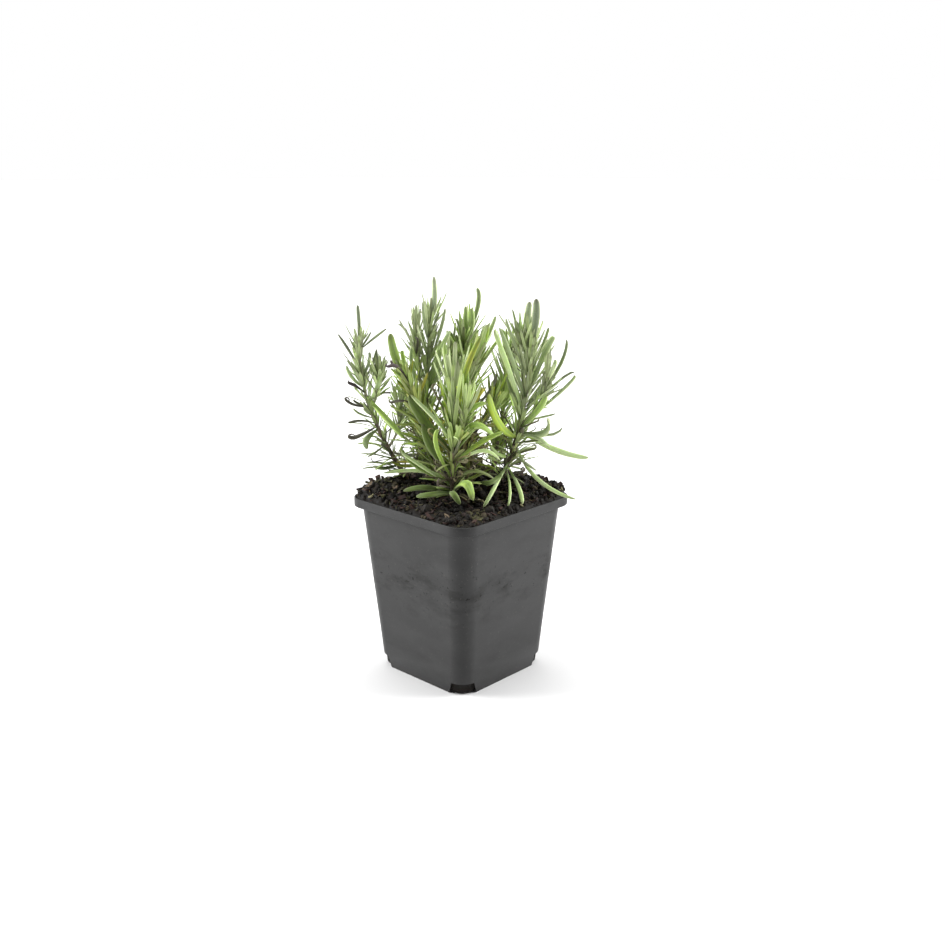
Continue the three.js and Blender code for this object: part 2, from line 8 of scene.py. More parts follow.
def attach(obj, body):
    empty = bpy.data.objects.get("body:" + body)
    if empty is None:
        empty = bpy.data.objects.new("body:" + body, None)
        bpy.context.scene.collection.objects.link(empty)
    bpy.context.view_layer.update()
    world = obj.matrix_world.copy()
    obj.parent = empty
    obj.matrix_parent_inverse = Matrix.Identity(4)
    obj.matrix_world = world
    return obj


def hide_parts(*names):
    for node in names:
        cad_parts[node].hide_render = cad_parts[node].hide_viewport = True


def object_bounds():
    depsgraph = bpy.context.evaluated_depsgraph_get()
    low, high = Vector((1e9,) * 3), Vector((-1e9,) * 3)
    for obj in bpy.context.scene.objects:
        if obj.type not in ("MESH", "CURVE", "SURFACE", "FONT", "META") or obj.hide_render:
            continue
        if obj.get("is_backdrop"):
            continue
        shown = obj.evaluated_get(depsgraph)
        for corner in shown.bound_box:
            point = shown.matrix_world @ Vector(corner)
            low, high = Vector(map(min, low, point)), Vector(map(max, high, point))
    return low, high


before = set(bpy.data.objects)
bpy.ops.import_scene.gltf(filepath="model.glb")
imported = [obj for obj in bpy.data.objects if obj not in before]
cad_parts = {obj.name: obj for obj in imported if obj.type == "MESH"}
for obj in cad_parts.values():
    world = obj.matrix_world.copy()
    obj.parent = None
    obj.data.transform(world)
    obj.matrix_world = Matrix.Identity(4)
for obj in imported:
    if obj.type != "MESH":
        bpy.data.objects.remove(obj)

cad_low, cad_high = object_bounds()


# ------------------------------------------------------------------------------
# The table top and the light. A plain white sheet under soft white light from both sides and above, with
# the side behind the camera a little darker, so that the pot's near corner shows as a dark band.
# ------------------------------------------------------------------------------
scene = bpy.context.scene
scene.view_settings.view_transform = "Standard"


def add(tree, kind, inputs=None, **settings):
    """A node with its settings, and with its inputs given as numbers or as the sockets that feed them."""
    node = tree.nodes.new(kind)
    for key, value in settings.items():
        setattr(node, key, value)
    for key, value in (inputs or {}).items():
        if isinstance(value, bpy.types.NodeSocket):
            tree.links.new(value, node.inputs[key])
        else:
            node.inputs[key].default_value = value
    return node


def maths(tree, operation, *values, clamp=False):
    """The output of a Math node."""
    node = add(tree, "ShaderNodeMath", dict(enumerate(values)), operation=operation, use_clamp=clamp)
    return node.outputs[0]


def finish_named(name):
    """A new material, its tree and its Principled shader."""
    made = bpy.data.materials.new(name)
    made.use_nodes = True
    return made, made.node_tree, made.node_tree.nodes["Principled BSDF"]


CAMERA_PLACE = (0.40463, -0.41711, 0.27320)
CAMERA_AIM = (0.00457, 0.00444, 0.11293)
CAMERA_LENS, FILM_WIDTH = 41.67, 36

lens = bpy.data.cameras.new("camera")
lens.lens = CAMERA_LENS
lens.sensor_width = FILM_WIDTH
lens.clip_start = 0.01
camera = bpy.data.objects.new("camera", lens)
scene.collection.objects.link(camera)
camera.location = CAMERA_PLACE
camera.rotation_euler = (Vector(CAMERA_AIM) - Vector(CAMERA_PLACE)).to_track_quat("-Z", "Y").to_euler()
scene.camera = camera

FLOOR_HALF, FLOOR_WHITE = 30.0, (0.72, 0.72, 0.72, 1)
floor_mesh = bpy.data.meshes.new("white_sheet")
floor_mesh.from_pydata(
    [(x * FLOOR_HALF, y * FLOOR_HALF, 0) for x, y in ((-1, -1), (1, -1), (1, 1), (-1, 1))], [], [(0, 1, 2, 3)]
)
floor = bpy.data.objects.new("white_sheet", floor_mesh)
scene.collection.objects.link(floor)
sheet_white, tree, shader = finish_named("white_sheet")
shader.inputs["Base Color"].default_value = FLOOR_WHITE
shader.inputs["Roughness"].default_value = 0.9
shader.inputs["Specular IOR Level"].default_value = 0.1
floor_mesh.materials.append(sheet_white)
floor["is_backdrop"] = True

# The room seen by the camera is plain white. The room that lights the plant is white above and at both
# sides, and dimmer towards the camera.
CAMERA_SIDE = (0.72, -0.69, 0)
ROOM_WHITE, ROOM_DIM, ROOM_BRIGHT, DIM_FROM, DIM_TO = 1.0, 0.05, 1.0, -0.1, 0.6
world = bpy.data.worlds.new("soft_room")
world.use_nodes = True
scene.world = world
tree = world.node_tree
way = add(tree, "ShaderNodeTexCoord").outputs["Generated"]
towards = add(tree, "ShaderNodeVectorMath", {0: way, 1: CAMERA_SIDE}, operation="DOT_PRODUCT")
dimming = {"Value": towards.outputs["Value"], 1: DIM_FROM, 2: DIM_TO, 3: ROOM_BRIGHT, 4: ROOM_DIM}
glow = add(tree, "ShaderNodeMapRange", dimming).outputs[0]
seen = add(tree, "ShaderNodeLightPath").outputs["Is Camera Ray"]
strength = add(tree, "ShaderNodeMix", {"Factor": seen, 2: glow, 3: ROOM_WHITE}, data_type="FLOAT").outputs[0]
tree.links.new(strength, tree.nodes["Background"].inputs["Strength"])
tree.nodes["Background"].inputs["Color"].default_value = (1, 1, 1, 1)

# Each light: its turn and its rise in degrees, and its strength.
SOFTNESS = math.radians(35)
for name, turn, rise, power in (
    ("left_light", 214, 28, 4.6),
    ("right_light", 54, 28, 4.4),
    ("top_light", 150, 78, 1.2),
):
    sun = bpy.data.lights.new(name, "SUN")
    sun.energy, sun.angle = power, SOFTNESS
    lamp = bpy.data.objects.new(name, sun)
    scene.collection.objects.link(lamp)
    turn, rise = math.radians(turn), math.radians(rise)
    place = Vector((math.cos(turn) * math.cos(rise), math.sin(turn) * math.cos(rise), math.sin(rise)))
    lamp.location = place
    lamp.rotation_euler = place.to_track_quat("Z", "Y").to_euler()


# ------------------------------------------------------------------------------
# The pot. Thin dark grey plastic, injection moulded in one piece: tapered walls with round corners, a small
# flared rim, a flat underside, and at each foot corner a drainage pocket that opens through a notch.
# ------------------------------------------------------------------------------
MM = 0.001
POT_HEIGHT = 100
RIM_HALF, RIM_RADIUS = 45, 11
TOP_HALF, TOP_RADIUS = 42.4, 12
BASE_HALF, BASE_RADIUS = 33.5, 9
POT_WALL, POT_FLOOR, POT_EDGE = 0.9, 1.1, 0.3
FLARE_FROM, FLARE_TO, WALL_RINGS = 94.2, 95.2, 7
POCKET_HEIGHT, POCKET_START, POCKET_SKIN = 6.5, 33, 1
POCKET_HALF_LOW, POCKET_HALF_HIGH, POCKET_BEYOND = 7.4, 6.2, 5
DRAIN_RADIUS, DRAIN_INSET = 2.6, 0.8
CORNERS = (45, 135, 225, 315)


def piece(name, mesh, *nodes, slot):
    """A finished mesh as a piece of the object, standing for the solids named."""
    made = bpy.data.objects.new(name, mesh)
    scene.collection.objects.link(made)
    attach(made, "root")
    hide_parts(*nodes)
    return made


def loft(name, rings):
    """A closed mesh through rings of points in millimetres, each counter-clockwise seen from above."""
    count = len(rings[0])
    faces = [tuple(reversed(range(count)))]
    for i in range(len(rings) - 1):
        low, high = i * count, (i + 1) * count
        faces += [(low + j, low + (j + 1) % count, high + (j + 1) % count, high + j) for j in range(count)]
    faces.append(tuple(range((len(rings) - 1) * count, len(rings) * count)))
    mesh = bpy.data.meshes.new(name)
    mesh.from_pydata((np.concatenate(rings) * MM).tolist(), [], faces)
    return mesh


def round_square(half, radius, z, corner_steps=12):
    """A level ring of points round a square with round corners."""
    ring = []
    for corner in range(4):
        centre = math.radians(corner * 90 + 45)
        cx, cy = (math.sqrt(2) * (half - radius) * f(centre) for f in (math.cos, math.sin))
        for i in range(corner_steps + 1):
            a = math.radians(corner * 90 + 90 * i / corner_steps)
            ring.append((cx + radius * math.cos(a), cy + radius * math.sin(a), z))
    return np.array(ring)


def mix(a, b, t):
    """The value a share of the way from one to another."""
    return a + (b - a) * t


def pot_rings(inset, bottom, top):
    """The rings of the tapered wall and the flared rim, set in by a wall's thickness."""
    def wall(z):
        t = z / POT_HEIGHT
        half, radius = mix(BASE_HALF, TOP_HALF, t), mix(BASE_RADIUS, TOP_RADIUS, t)
        return half - inset, radius - inset

    rim = (RIM_HALF - inset, RIM_RADIUS - inset)
    heights = np.linspace(bottom, FLARE_FROM, WALL_RINGS)
    rings = [round_square(*wall(z), z) for z in heights[:-1]]
    rings.append(round_square(*wall(FLARE_FROM), FLARE_FROM + inset))
    return rings + [round_square(*rim, FLARE_TO + inset), round_square(*rim, top)]


def pocket(turn, grow):
    """One corner's drainage pocket as a block, reaching outwards past the wall."""
    inner, outer = POCKET_START - grow, BASE_HALF * math.sqrt(2) + POCKET_BEYOND
    c, s = math.cos(math.radians(turn)), math.sin(math.radians(turn))

    def ring(half, z):
        corners = ((inner, -half), (outer, -half), (outer, half), (inner, half))
        return np.array([(c * x - s * y, s * x + c * y, z) for x, y in corners])

    top = ring(POCKET_HALF_HIGH + grow, POCKET_HEIGHT + grow)
    return loft("pocket", [ring(POCKET_HALF_LOW + grow, -1), top])


def drain(turn, sides=20):
    """The round hole through the top of one corner's pocket, as a drum."""
    a, out = np.radians(np.arange(sides) * 360 / sides), POCKET_START + DRAIN_RADIUS + DRAIN_INSET
    cx, cy = out * math.cos(math.radians(turn)), out * math.sin(math.radians(turn))
    ring = np.stack([cx + DRAIN_RADIUS * np.cos(a), cy + DRAIN_RADIUS * np.sin(a), np.zeros(sides)], 1)
    return loft("drain", [ring + (0, 0, POCKET_HEIGHT - 1), ring + (0, 0, POCKET_HEIGHT + 3)])


def carve(mesh, cutters, soften=None):
    """A mesh with other meshes cut out of it, and its edges softened if asked."""
    body = bpy.data.objects.new("carved", mesh)
    scene.collection.objects.link(body)
    tools = [bpy.data.objects.new("cutter", cutter) for cutter in cutters]
    for tool in tools:
        scene.collection.objects.link(tool)
        cut = body.modifiers.new("cut", "BOOLEAN")
        cut.operation, cut.solver, cut.object = "DIFFERENCE", "EXACT", tool
    if soften:
        edge = body.modifiers.new("soften", "BEVEL")
        edge.width, edge.segments, edge.angle_limit = soften * MM, 2, math.radians(40)
    graph = bpy.context.evaluated_depsgraph_get()
    made = bpy.data.meshes.new_from_object(body.evaluated_get(graph), depsgraph=graph)
    for tool in [body, *tools]:
        bpy.data.objects.remove(tool)
    return made


inside = loft("cavity", pot_rings(POT_WALL, POT_FLOOR, POT_HEIGHT + 1))
inside = carve(inside, [pocket(turn, POCKET_SKIN) for turn in CORNERS])
openings = [pocket(turn, 0) for turn in CORNERS] + [drain(turn) for turn in CORNERS]
pot_mesh = carve(loft("pot", pot_rings(0, 0, POT_HEIGHT)), [inside, *openings], soften=POT_EDGE)
pot_mesh.name = "moulded_pot"
pot_mesh.shade_smooth()
pot_mesh.set_sharp_from_angle(angle=math.radians(35))


def effect_group(name, output, sizes):
    """An empty shader group with named inputs and one number put out. Gives the group and its inputs."""
    group = bpy.data.node_groups.new(name, "ShaderNodeTree")
    for key, value in sizes.items():
        kind = "NodeSocketVector" if isinstance(value, tuple) else "NodeSocketFloat"
        group.interface.new_socket(key, in_out="INPUT", socket_type=kind).default_value = value
    group.interface.new_socket(output, in_out="OUTPUT", socket_type="NodeSocketFloat")
    return group, add(group, "NodeGroupInput").outputs


def patches_group():
    """Soft uneven patches from 0 to 1 over a surface, at a size and sharpness, stretched up or across."""
    sizes = {"Patches per Metre": 60.0, "Detail": 4.0, "From": 0.4, "To": 0.6, "Stretch": (1.0, 1.0, 1.0)}
    group, asked = effect_group("uneven_patches", "Mask", sizes)
    place = add(group, "ShaderNodeTexCoord").outputs["Object"]
    place = add(group, "ShaderNodeVectorMath", {0: place, 1: asked["Stretch"]}, operation="MULTIPLY")
    sizes = {"Vector": place.outputs[0], "Scale": asked["Patches per Metre"], "Detail": asked["Detail"]}
    cloud = add(group, "ShaderNodeTexNoise", {**sizes, "Roughness": 0.6}).outputs["Fac"]
    sizes = {"Value": cloud, "From Min": asked["From"], "From Max": asked["To"]}
    mask = add(group, "ShaderNodeMapRange", sizes, interpolation_type="SMOOTHSTEP").outputs["Result"]
    add(group, "NodeGroupOutput", {"Mask": mask})
    return group


def grain_group():
    """The fine grain of a surface, as a height."""
    group, asked = effect_group("fine_grain", "Height", {"Grains per Metre": 2000.0, "Detail": 2.0})
    place = add(group, "ShaderNodeTexCoord").outputs["Object"]
    sizes = {"Vector": place, "Scale": asked["Grains per Metre"], "Detail": asked["Detail"]}
    add(group, "NodeGroupOutput", {"Height": add(group, "ShaderNodeTexNoise", sizes).outputs["Fac"]})
    return group


patches, fine_grain = patches_group(), grain_group()


def patch_mask(tree, per_metre, low, high, detail=4.0, stretch=(1, 1, 1)):
    """The mask of one placing of the uneven patches."""
    sizes = {"Patches per Metre": per_metre, "From": low, "To": high, "Detail": detail, "Stretch": stretch}
    return add(tree, "ShaderNodeGroup", sizes, node_tree=patches).outputs["Mask"]


def grain(tree, per_metre, detail=2.0):
    """The height of one placing of the fine grain."""
    sizes = {"Grains per Metre": per_metre, "Detail": detail}
    return add(tree, "ShaderNodeGroup", sizes, node_tree=fine_grain).outputs["Height"]


def dress(tree, shader, colour, rough, specular, height, strength, depth):
    """Gives a shader its colour and roughness, how strongly it shines, and its relief."""
    tree.links.new(colour, shader.inputs["Base Color"])
    tree.links.new(rough, shader.inputs["Roughness"])
    shader.inputs["Specular IOR Level"].default_value = specular
    relief = add(tree, "ShaderNodeBump", {"Strength": strength, "Distance": depth, "Height": height})
    tree.links.new(relief.outputs["Normal"], shader.inputs["Normal"])


def times(tree, value, *factors):
    """The product of some values."""
    for factor in factors:
        value = maths(tree, "MULTIPLY", value, factor)
    return value


def blend(tree, share, first, second):
    """A colour mixed from two, each a colour or a socket."""
    inputs = {"Factor": share, 6: first, 7: second}
    return add(tree, "ShaderNodeMix", inputs, data_type="RGBA", clamp_factor=True).outputs[2]


PLASTIC_DARK, PLASTIC_LIGHT, PAINTED_CORNER_SHADE = ((grey, grey, grey, 1) for grey in (0.043, 0.052, 0.03))
STAIN, DIRT, DUST = (0.016, 0.0155, 0.0145, 1), (0.008, 0.0075, 0.007, 1), (0.11, 0.105, 0.095, 1)
STAIN_HEIGHT, STAIN_REACH, STAIN_STRETCH = 0.058, 0.02, (1, 1, 2.2)
# Where the painted shade on the pot's round corners begins, and how fast it deepens.
CORNER_SHADE_FROM, CORNER_SHADE_GAIN = 1.72, 2.6


def pot_finish():
    """Satin plastic with smudges, dried splashes of earth at mid height, dust, and painted shade at the round
    corners.
    """
    made, tree, shader = finish_named("dark_grey_plastic")
    smudge = patch_mask(tree, 34.0, 0.4, 0.75, stretch=STAIN_STRETCH)
    place = add(tree, "ShaderNodeSeparateXYZ", {0: add(tree, "ShaderNodeTexCoord").outputs["Object"]}).outputs
    from_line = maths(tree, "ABSOLUTE", maths(tree, "SUBTRACT", place["Z"], STAIN_HEIGHT))
    near_line = maths(tree, "SUBTRACT", 1.0, maths(tree, "DIVIDE", from_line, STAIN_REACH), clamp=True)
    stain = patch_mask(tree, 48.0, 0.46, 0.72, stretch=STAIN_STRETCH)
    stain = times(tree, stain, maths(tree, "MULTIPLY_ADD", near_line, 0.55, 0.14))
    dirt = patch_mask(tree, 420.0, 0.64, 0.68, detail=3.0)
    dirt = times(tree, dirt, maths(tree, "MULTIPLY_ADD", near_line, 0.8, 0.05))
    dust = times(tree, patch_mask(tree, 900.0, 0.66, 0.72, detail=2.0), 0.35)
    # Painted shade: the grey darkens towards each round corner, by how far a point lies out along the
    # diagonal.
    reach = maths(tree, "ADD", maths(tree, "ABSOLUTE", place["X"]), maths(tree, "ABSOLUTE", place["Y"]))
    half = maths(tree, "MULTIPLY_ADD", place["Z"], (TOP_HALF - BASE_HALF) / POT_HEIGHT, BASE_HALF * MM)
    corner = maths(tree, "SUBTRACT", maths(tree, "DIVIDE", reach, half), CORNER_SHADE_FROM, clamp=True)
    grey = blend(tree, smudge, PLASTIC_DARK, PLASTIC_LIGHT)
    grey = blend(tree, stain, grey, STAIN)
    grey = blend(tree, times(tree, corner, CORNER_SHADE_GAIN), grey, PAINTED_CORNER_SHADE)
    grey = blend(tree, dirt, grey, DIRT)
    grey = blend(tree, dust, grey, DUST)
    rough = maths(tree, "MULTIPLY_ADD", stain, 0.2, maths(tree, "MULTIPLY_ADD", smudge, 0.12, 0.4))
    dress(tree, shader, grey, rough, 0.13, grain(tree, 2600.0), 0.12, 0.0002)
    return made


pot_mesh.materials.clear()
pot_mesh.materials.append(pot_finish())
piece("moulded_pot", pot_mesh, "pot", slot="pot_plastic")


# ------------------------------------------------------------------------------
# The potting soil. Moist dark peat that fills the pot and is heaped above the rim at the sides and back. Its
# surface is covered with crumbs, bits of bark and a few pale root fibres.
# ------------------------------------------------------------------------------
SOIL_GAP, SOIL_EDGE = 0.3, 99.2
SOIL_HEAP, SOIL_FRONT_HEAP, SOIL_HEAP_REACH, HEAP_START, HEAP_RUN = 7.5, 1, 2.6, -38, 42
BED_RINGS, BED_EDGE_RINGS, BED_GRAIN, BED_UNEVEN = 56, 4, 0.9, 0.7

# Where a size is drawn, its first number is the least and its second is how much more it can be.
CLODS, CLOD_SEED, CLOD_FIELD, CLOD_WALL_GAP = 70, 5, 82, 2
CLOD_REACH, CLOD_RISE = (2.6, 3.4), (0.25, 0.3)


def draw_from(seed):
    """Repeatable draws from 0 to 1, by the minimal standard generator."""
    state = seed

    def draw():
        nonlocal state
        state = state * 16807 % 2147483647
        return state / 2147483647

    return draw


def drawn(draw, least, more, power=1):
    """A drawn size. A power above 1 makes small sizes more common."""
    return least + more * draw() ** power


def clod_list():
    """The low clods that make the bed uneven: place, reach and rise."""
    draw = draw_from(CLOD_SEED)
    made = []
    for _ in range(CLODS):
        reach = drawn(draw, *CLOD_REACH)
        x, y = CLOD_FIELD * (draw() - 0.5), CLOD_FIELD * (draw() - 0.5)
        made.append((x, y, reach, drawn(draw, *CLOD_RISE) * reach))
    return made


clods = clod_list()


def beyond_rim(x, y):
    """How far a point lies outside the rim, less than 0 inside it."""
    dx, dy = abs(x) - RIM_HALF + RIM_RADIUS, abs(y) - RIM_HALF + RIM_RADIUS
    return np.hypot(np.maximum(dx, 0), np.maximum(dy, 0)) + np.minimum(np.maximum(dx, dy), 0) - RIM_RADIUS


def room_in_pot(x, y):
    """How far a point lies inside the pot's wall."""
    return np.maximum(-beyond_rim(x, y) - POT_WALL, 0)


def soil_height(x, y):
    """The height of the soil: heaped away from the pot's near corner, and uneven with clods."""
    x, y = np.asarray(x, float), np.asarray(y, float)
    inward = room_in_pot(x, y)
    share = np.clip(((y - x) / math.sqrt(2) - HEAP_START) / HEAP_RUN, 0, 1)
    heap = SOIL_FRONT_HEAP + (SOIL_HEAP - SOIL_FRONT_HEAP) * share * share * (3 - 2 * share)
    z = SOIL_EDGE + heap * (1 - np.exp(-inward / SOIL_HEAP_REACH))
    for cx, cy, reach, rise in clods:
        part = ((x - cx) ** 2 + (y - cy) ** 2) / reach**2
        z = z + np.where(part < 1, rise * (1 - part) * np.minimum(1, inward / CLOD_WALL_GAP), 0)
    return z


def soil_bed():
    """The body of the soil: its sides follow the pot, and its top is finely uneven."""
    side = pot_rings(POT_WALL + SOIL_GAP, POT_FLOOR + SOIL_GAP, SOIL_EDGE)
    outline, rings = side[-1], list(side)
    for i in range(BED_RINGS - 1, 0, -1):
        ring = outline * (i / BED_RINGS, i / BED_RINGS, 1)
        ring[:, 2] = soil_height(ring[:, 0], ring[:, 1])
        for p in ring:
            fine = noise.fractal(Vector(p) * BED_GRAIN, 1.0, 2.0, 3, noise_basis="PERLIN_ORIGINAL")
            p[2] += BED_UNEVEN * fine * min(1, (BED_RINGS - i) / BED_EDGE_RINGS)
        rings.append(ring)
    mesh = loft("soil_bed", rings)
    xyz = np.array([v.co for v in mesh.vertices]) / MM
    room = room_in_pot(xyz[:, 0], xyz[:, 1]) * MM
    room[: len(side) * len(outline)] = 0
    mesh.attributes.new("room", "FLOAT", "POINT").data.foreach_set("value", room.astype(np.float32))
    mesh.shade_smooth()
    return mesh


def geometry_tree(name, **sizes):
    """A geometry tree with a mesh going in and out and named number inputs. Gives the tree and its inputs."""
    tree = bpy.data.node_groups.new(name, "GeometryNodeTree")
    tree.interface.new_socket("Geometry", in_out="INPUT", socket_type="NodeSocketGeometry")
    for key, value in sizes.items():
        kind = "NodeSocketInt" if isinstance(value, int) else "NodeSocketFloat"
        socket = tree.interface.new_socket(key.replace("_", " "), in_out="INPUT", socket_type=kind)
        socket.default_value = value
    tree.interface.new_socket("Geometry", in_out="OUTPUT", socket_type="NodeSocketGeometry")
    return tree, add(tree, "NodeGroupInput").outputs


def settle(name, source, tree, **sizes):
    """The plain mesh that a geometry tree makes from a mesh, with the tree's inputs set by identifier."""
    carrier = bpy.data.objects.new(name, source)
    scene.collection.objects.link(carrier)
    grown = carrier.modifiers.new(tree.name, "NODES")
    grown.node_group = tree
    wanted = {key.replace("_", " "): value for key, value in sizes.items()}
    for item in tree.interface.items_tree:
        if item.item_type == "SOCKET" and item.in_out == "INPUT" and item.name in wanted:
            grown[item.identifier] = wanted[item.name]
    graph = bpy.context.evaluated_depsgraph_get()
    mesh = bpy.data.meshes.new_from_object(carrier.evaluated_get(graph), depsgraph=graph)
    mesh.name = name
    bpy.data.objects.remove(carrier)
    return mesh


def carried(tree, key, kind="FLOAT"):
    """An attribute that a mesh carries, read in a geometry tree."""
    return add(tree, "GeometryNodeInputNamedAttribute", {"Name": key}, data_type=kind).outputs[0]


def stored(tree, geometry, key, value, domain):
    """Geometry that carries a number under a name."""
    inputs = {"Geometry": geometry, "Name": key, "Value": value}
    return add(tree, "GeometryNodeStoreNamedAttribute", inputs, data_type="FLOAT", domain=domain).outputs[0]


def painted(tree, name):
    """An attribute of the surface, read in a material."""
    return add(tree, "ShaderNodeAttribute", attribute_name=name).outputs["Fac"]


RARE_FROM = 0.93


def soil_finish(name, dark, light, rare, roughness):
    """Moist crumbly matter: dark, with lighter patches and some bits of a third colour by their own shade."""
    made, tree, shader = finish_named(name)
    shade = painted(tree, "shade")
    mottle = patch_mask(tree, 420.0, 0.35, 0.7, detail=5.0)
    share = maths(tree, "MULTIPLY_ADD", mottle, 0.6, times(tree, shade, 0.4))
    colour = blend(tree, share, (*dark, 1), (*light, 1))
    colour = blend(tree, maths(tree, "GREATER_THAN", shade, RARE_FROM), colour, (*rare, 1))
    rough = maths(tree, "MULTIPLY_ADD", mottle, 0.25, roughness)
    dress(tree, shader, colour, rough, 0.22, grain(tree, 1500.0, detail=4.0), 0.6, 0.0004)
    return made


peat = soil_finish("moist_peat", (0.0035, 0.0028, 0.0022), (0.016, 0.012, 0.008), (0.05, 0.04, 0.022), 0.7)
bark = soil_finish("bark_bits", (0.012, 0.007, 0.006), (0.06, 0.031, 0.025), (0.12, 0.088, 0.056), 0.7)
fibre = soil_finish("root_fibre", (0.04, 0.026, 0.014), (0.16, 0.12, 0.06), (0.3, 0.24, 0.14), 0.75)
fallen = soil_finish("fallen_leaf", (0.024, 0.022, 0.01), (0.09, 0.085, 0.036), (0.22, 0.2, 0.11), 0.6)


def random_between(tree, asked, low, high, offset):
    """A random number, or a random vector where the limits are vectors, for each bit."""
    kind, names = ("FLOAT_VECTOR", (0, 1, 0)) if isinstance(low, tuple) else ("FLOAT", (2, 3, 1))
    seed = maths(tree, "ADD", asked["Seed"], offset)
    made = add(tree, "FunctionNodeRandomValue", {names[0]: low, names[1]: high, "Seed": seed}, data_type=kind)
    return made.outputs[names[2]]


EDGE_ROOM, SMALL_BITS = 0.0004, 2.2


def bits_tree(name, cuts, scale, finish, tilt, lumps):
    """Bits of one kind, balls or cut strips, strewn over the bed, each turned, sized and made lumpy."""
    tree, asked = geometry_tree(name, Bits_per_Square_Metre=100000.0, Smallest=0.0004, Largest=0.0015, Seed=1)
    room = carried(tree, "room")
    inside = add(tree, "FunctionNodeCompare", {0: room, 1: EDGE_ROOM}, operation="GREATER_THAN").outputs[0]
    sizes = {"Mesh": asked["Geometry"], "Selection": inside, "Density": asked["Bits per Square Metre"]}
    strewn = add(tree, "GeometryNodeDistributePointsOnFaces", {**sizes, "Seed": asked["Seed"]})
    spin = random_between(tree, asked, (-tilt, -tilt, -3.1), (tilt, tilt, 3.1), 1)
    turned = add(tree, "FunctionNodeEulerToRotation", {0: spin}).outputs[0]
    size = maths(tree, "POWER", random_between(tree, asked, 0.0, 1.0, 2), SMALL_BITS)
    size = add(tree, "ShaderNodeMapRange", {"Value": size, 3: asked["Smallest"], 4: asked["Largest"]})
    size = maths(tree, "MINIMUM", size.outputs[0], maths(tree, "MULTIPLY_ADD", room, 0.9, 0.0001))
    if cuts:
        sizes = {"Size": (2.0, 2.0, 2.0), "Vertices X": cuts[0], "Vertices Y": cuts[1], "Vertices Z": 2}
        shape = add(tree, "GeometryNodeMeshCube", sizes).outputs["Mesh"]
    else:
        shape = add(tree, "GeometryNodeMeshIcoSphere", {"Radius": 1.0, "Subdivisions": 2}).outputs["Mesh"]
    shape = add(tree, "GeometryNodeTransform", {"Geometry": shape, "Scale": scale}).outputs[0]
    sizes = {"Points": strewn.outputs["Points"], "Instance": shape, "Rotation": turned, "Scale": size}
    placed = add(tree, "GeometryNodeInstanceOnPoints", sizes).outputs[0]
    shaded = stored(tree, placed, "shade", random_between(tree, asked, 0.0, 1.0, 3), "INSTANCE")
    real = add(tree, "GeometryNodeRealizeInstances", {"Geometry": shaded}).outputs[0]
    cloud = add(tree, "ShaderNodeTexNoise", {"Scale": 900.0, "Detail": 2.0}).outputs["Color"]
    centred = add(tree, "ShaderNodeVectorMath", {0: cloud, 1: (0.5, 0.5, 0.5)}, operation="SUBTRACT")
    inputs = {0: centred.outputs[0], "Scale": lumps}
    push = add(tree, "ShaderNodeVectorMath", inputs, operation="SCALE").outputs[0]
    lumpy = add(tree, "GeometryNodeSetPosition", {"Geometry": real, "Offset": push}).outputs[0]
    done = add(tree, "GeometryNodeSetMaterial", {"Geometry": lumpy, "Material": finish}).outputs[0]
    add(tree, "NodeGroupOutput", {"Geometry": done})
    return tree


soil_mesh = soil_bed()
soil_mesh.materials.append(peat)
piece("soil_bed", soil_mesh, "potting_soil", slot="potting_soil")

# Each kind of bit: the cuts along and across a strip, or None for a ball, its proportions, finish, how far
# it tilts, how lumpy it is, how many lie on a square metre, its smallest and largest reach, and its seed.
LUMP = (1, 0.85, 0.75)
for name, cuts, scale, finish, tilt, lumps, crowd, smallest, largest, seed in (
    ("soil_crumbs", None, LUMP, peat, 3.1, 0.0011, 225000.0, 0.0004, 0.0021, 3),
    ("peat_lumps", None, LUMP, peat, 3.1, 0.003, 7000.0, 0.0018, 0.0038, 13),
    ("bark_bits", (5, 3), (1.3, 0.42, 0.14), bark, 0.7, 0.0008, 62000.0, 0.0006, 0.0034, 8),
    ("root_fibres", (12, 2), (1.0, 0.025, 0.025), fibre, 0.5, 0.0028, 16000.0, 0.002, 0.0062, 21),
    ("fallen_leaves", (9, 3), (1.0, 0.15, 0.03), fallen, 0.45, 0.0045, 22000.0, 0.003, 0.0085, 34),
):
    bits = bits_tree(name, cuts, scale, finish, tilt, lumps)
    sizes = {"Bits_per_Square_Metre": crowd, "Smallest": smallest, "Largest": largest, "Seed": seed}
    piece(name, settle(name, soil_mesh, bits, **sizes), "potting_soil", slot="potting_soil")


# ------------------------------------------------------------------------------
# The lavender. Ten stems, square in section, brown and woody at the foot and grey-green above. The leaves
# are narrow, with rolled margins and a sunk midrib, in opposite pairs with small leaves in their angles.
# ------------------------------------------------------------------------------
PLANT_TURN = math.radians(45)
STEM_BASE, STEM_TIP, ROOT_DEPTH, STEM_STEPS = 1.5, 0.6, 20, 6
LEAF_CLEARANCE, LEAF_APART, LEAF_SET_OFF, LEAF_TRIES, LEAF_SEED = 0.4, 1.3, 0.4, 11, 11
LEAF_FACE = (0, -0.7, 0.7)
UNDER_LEAVES = 60

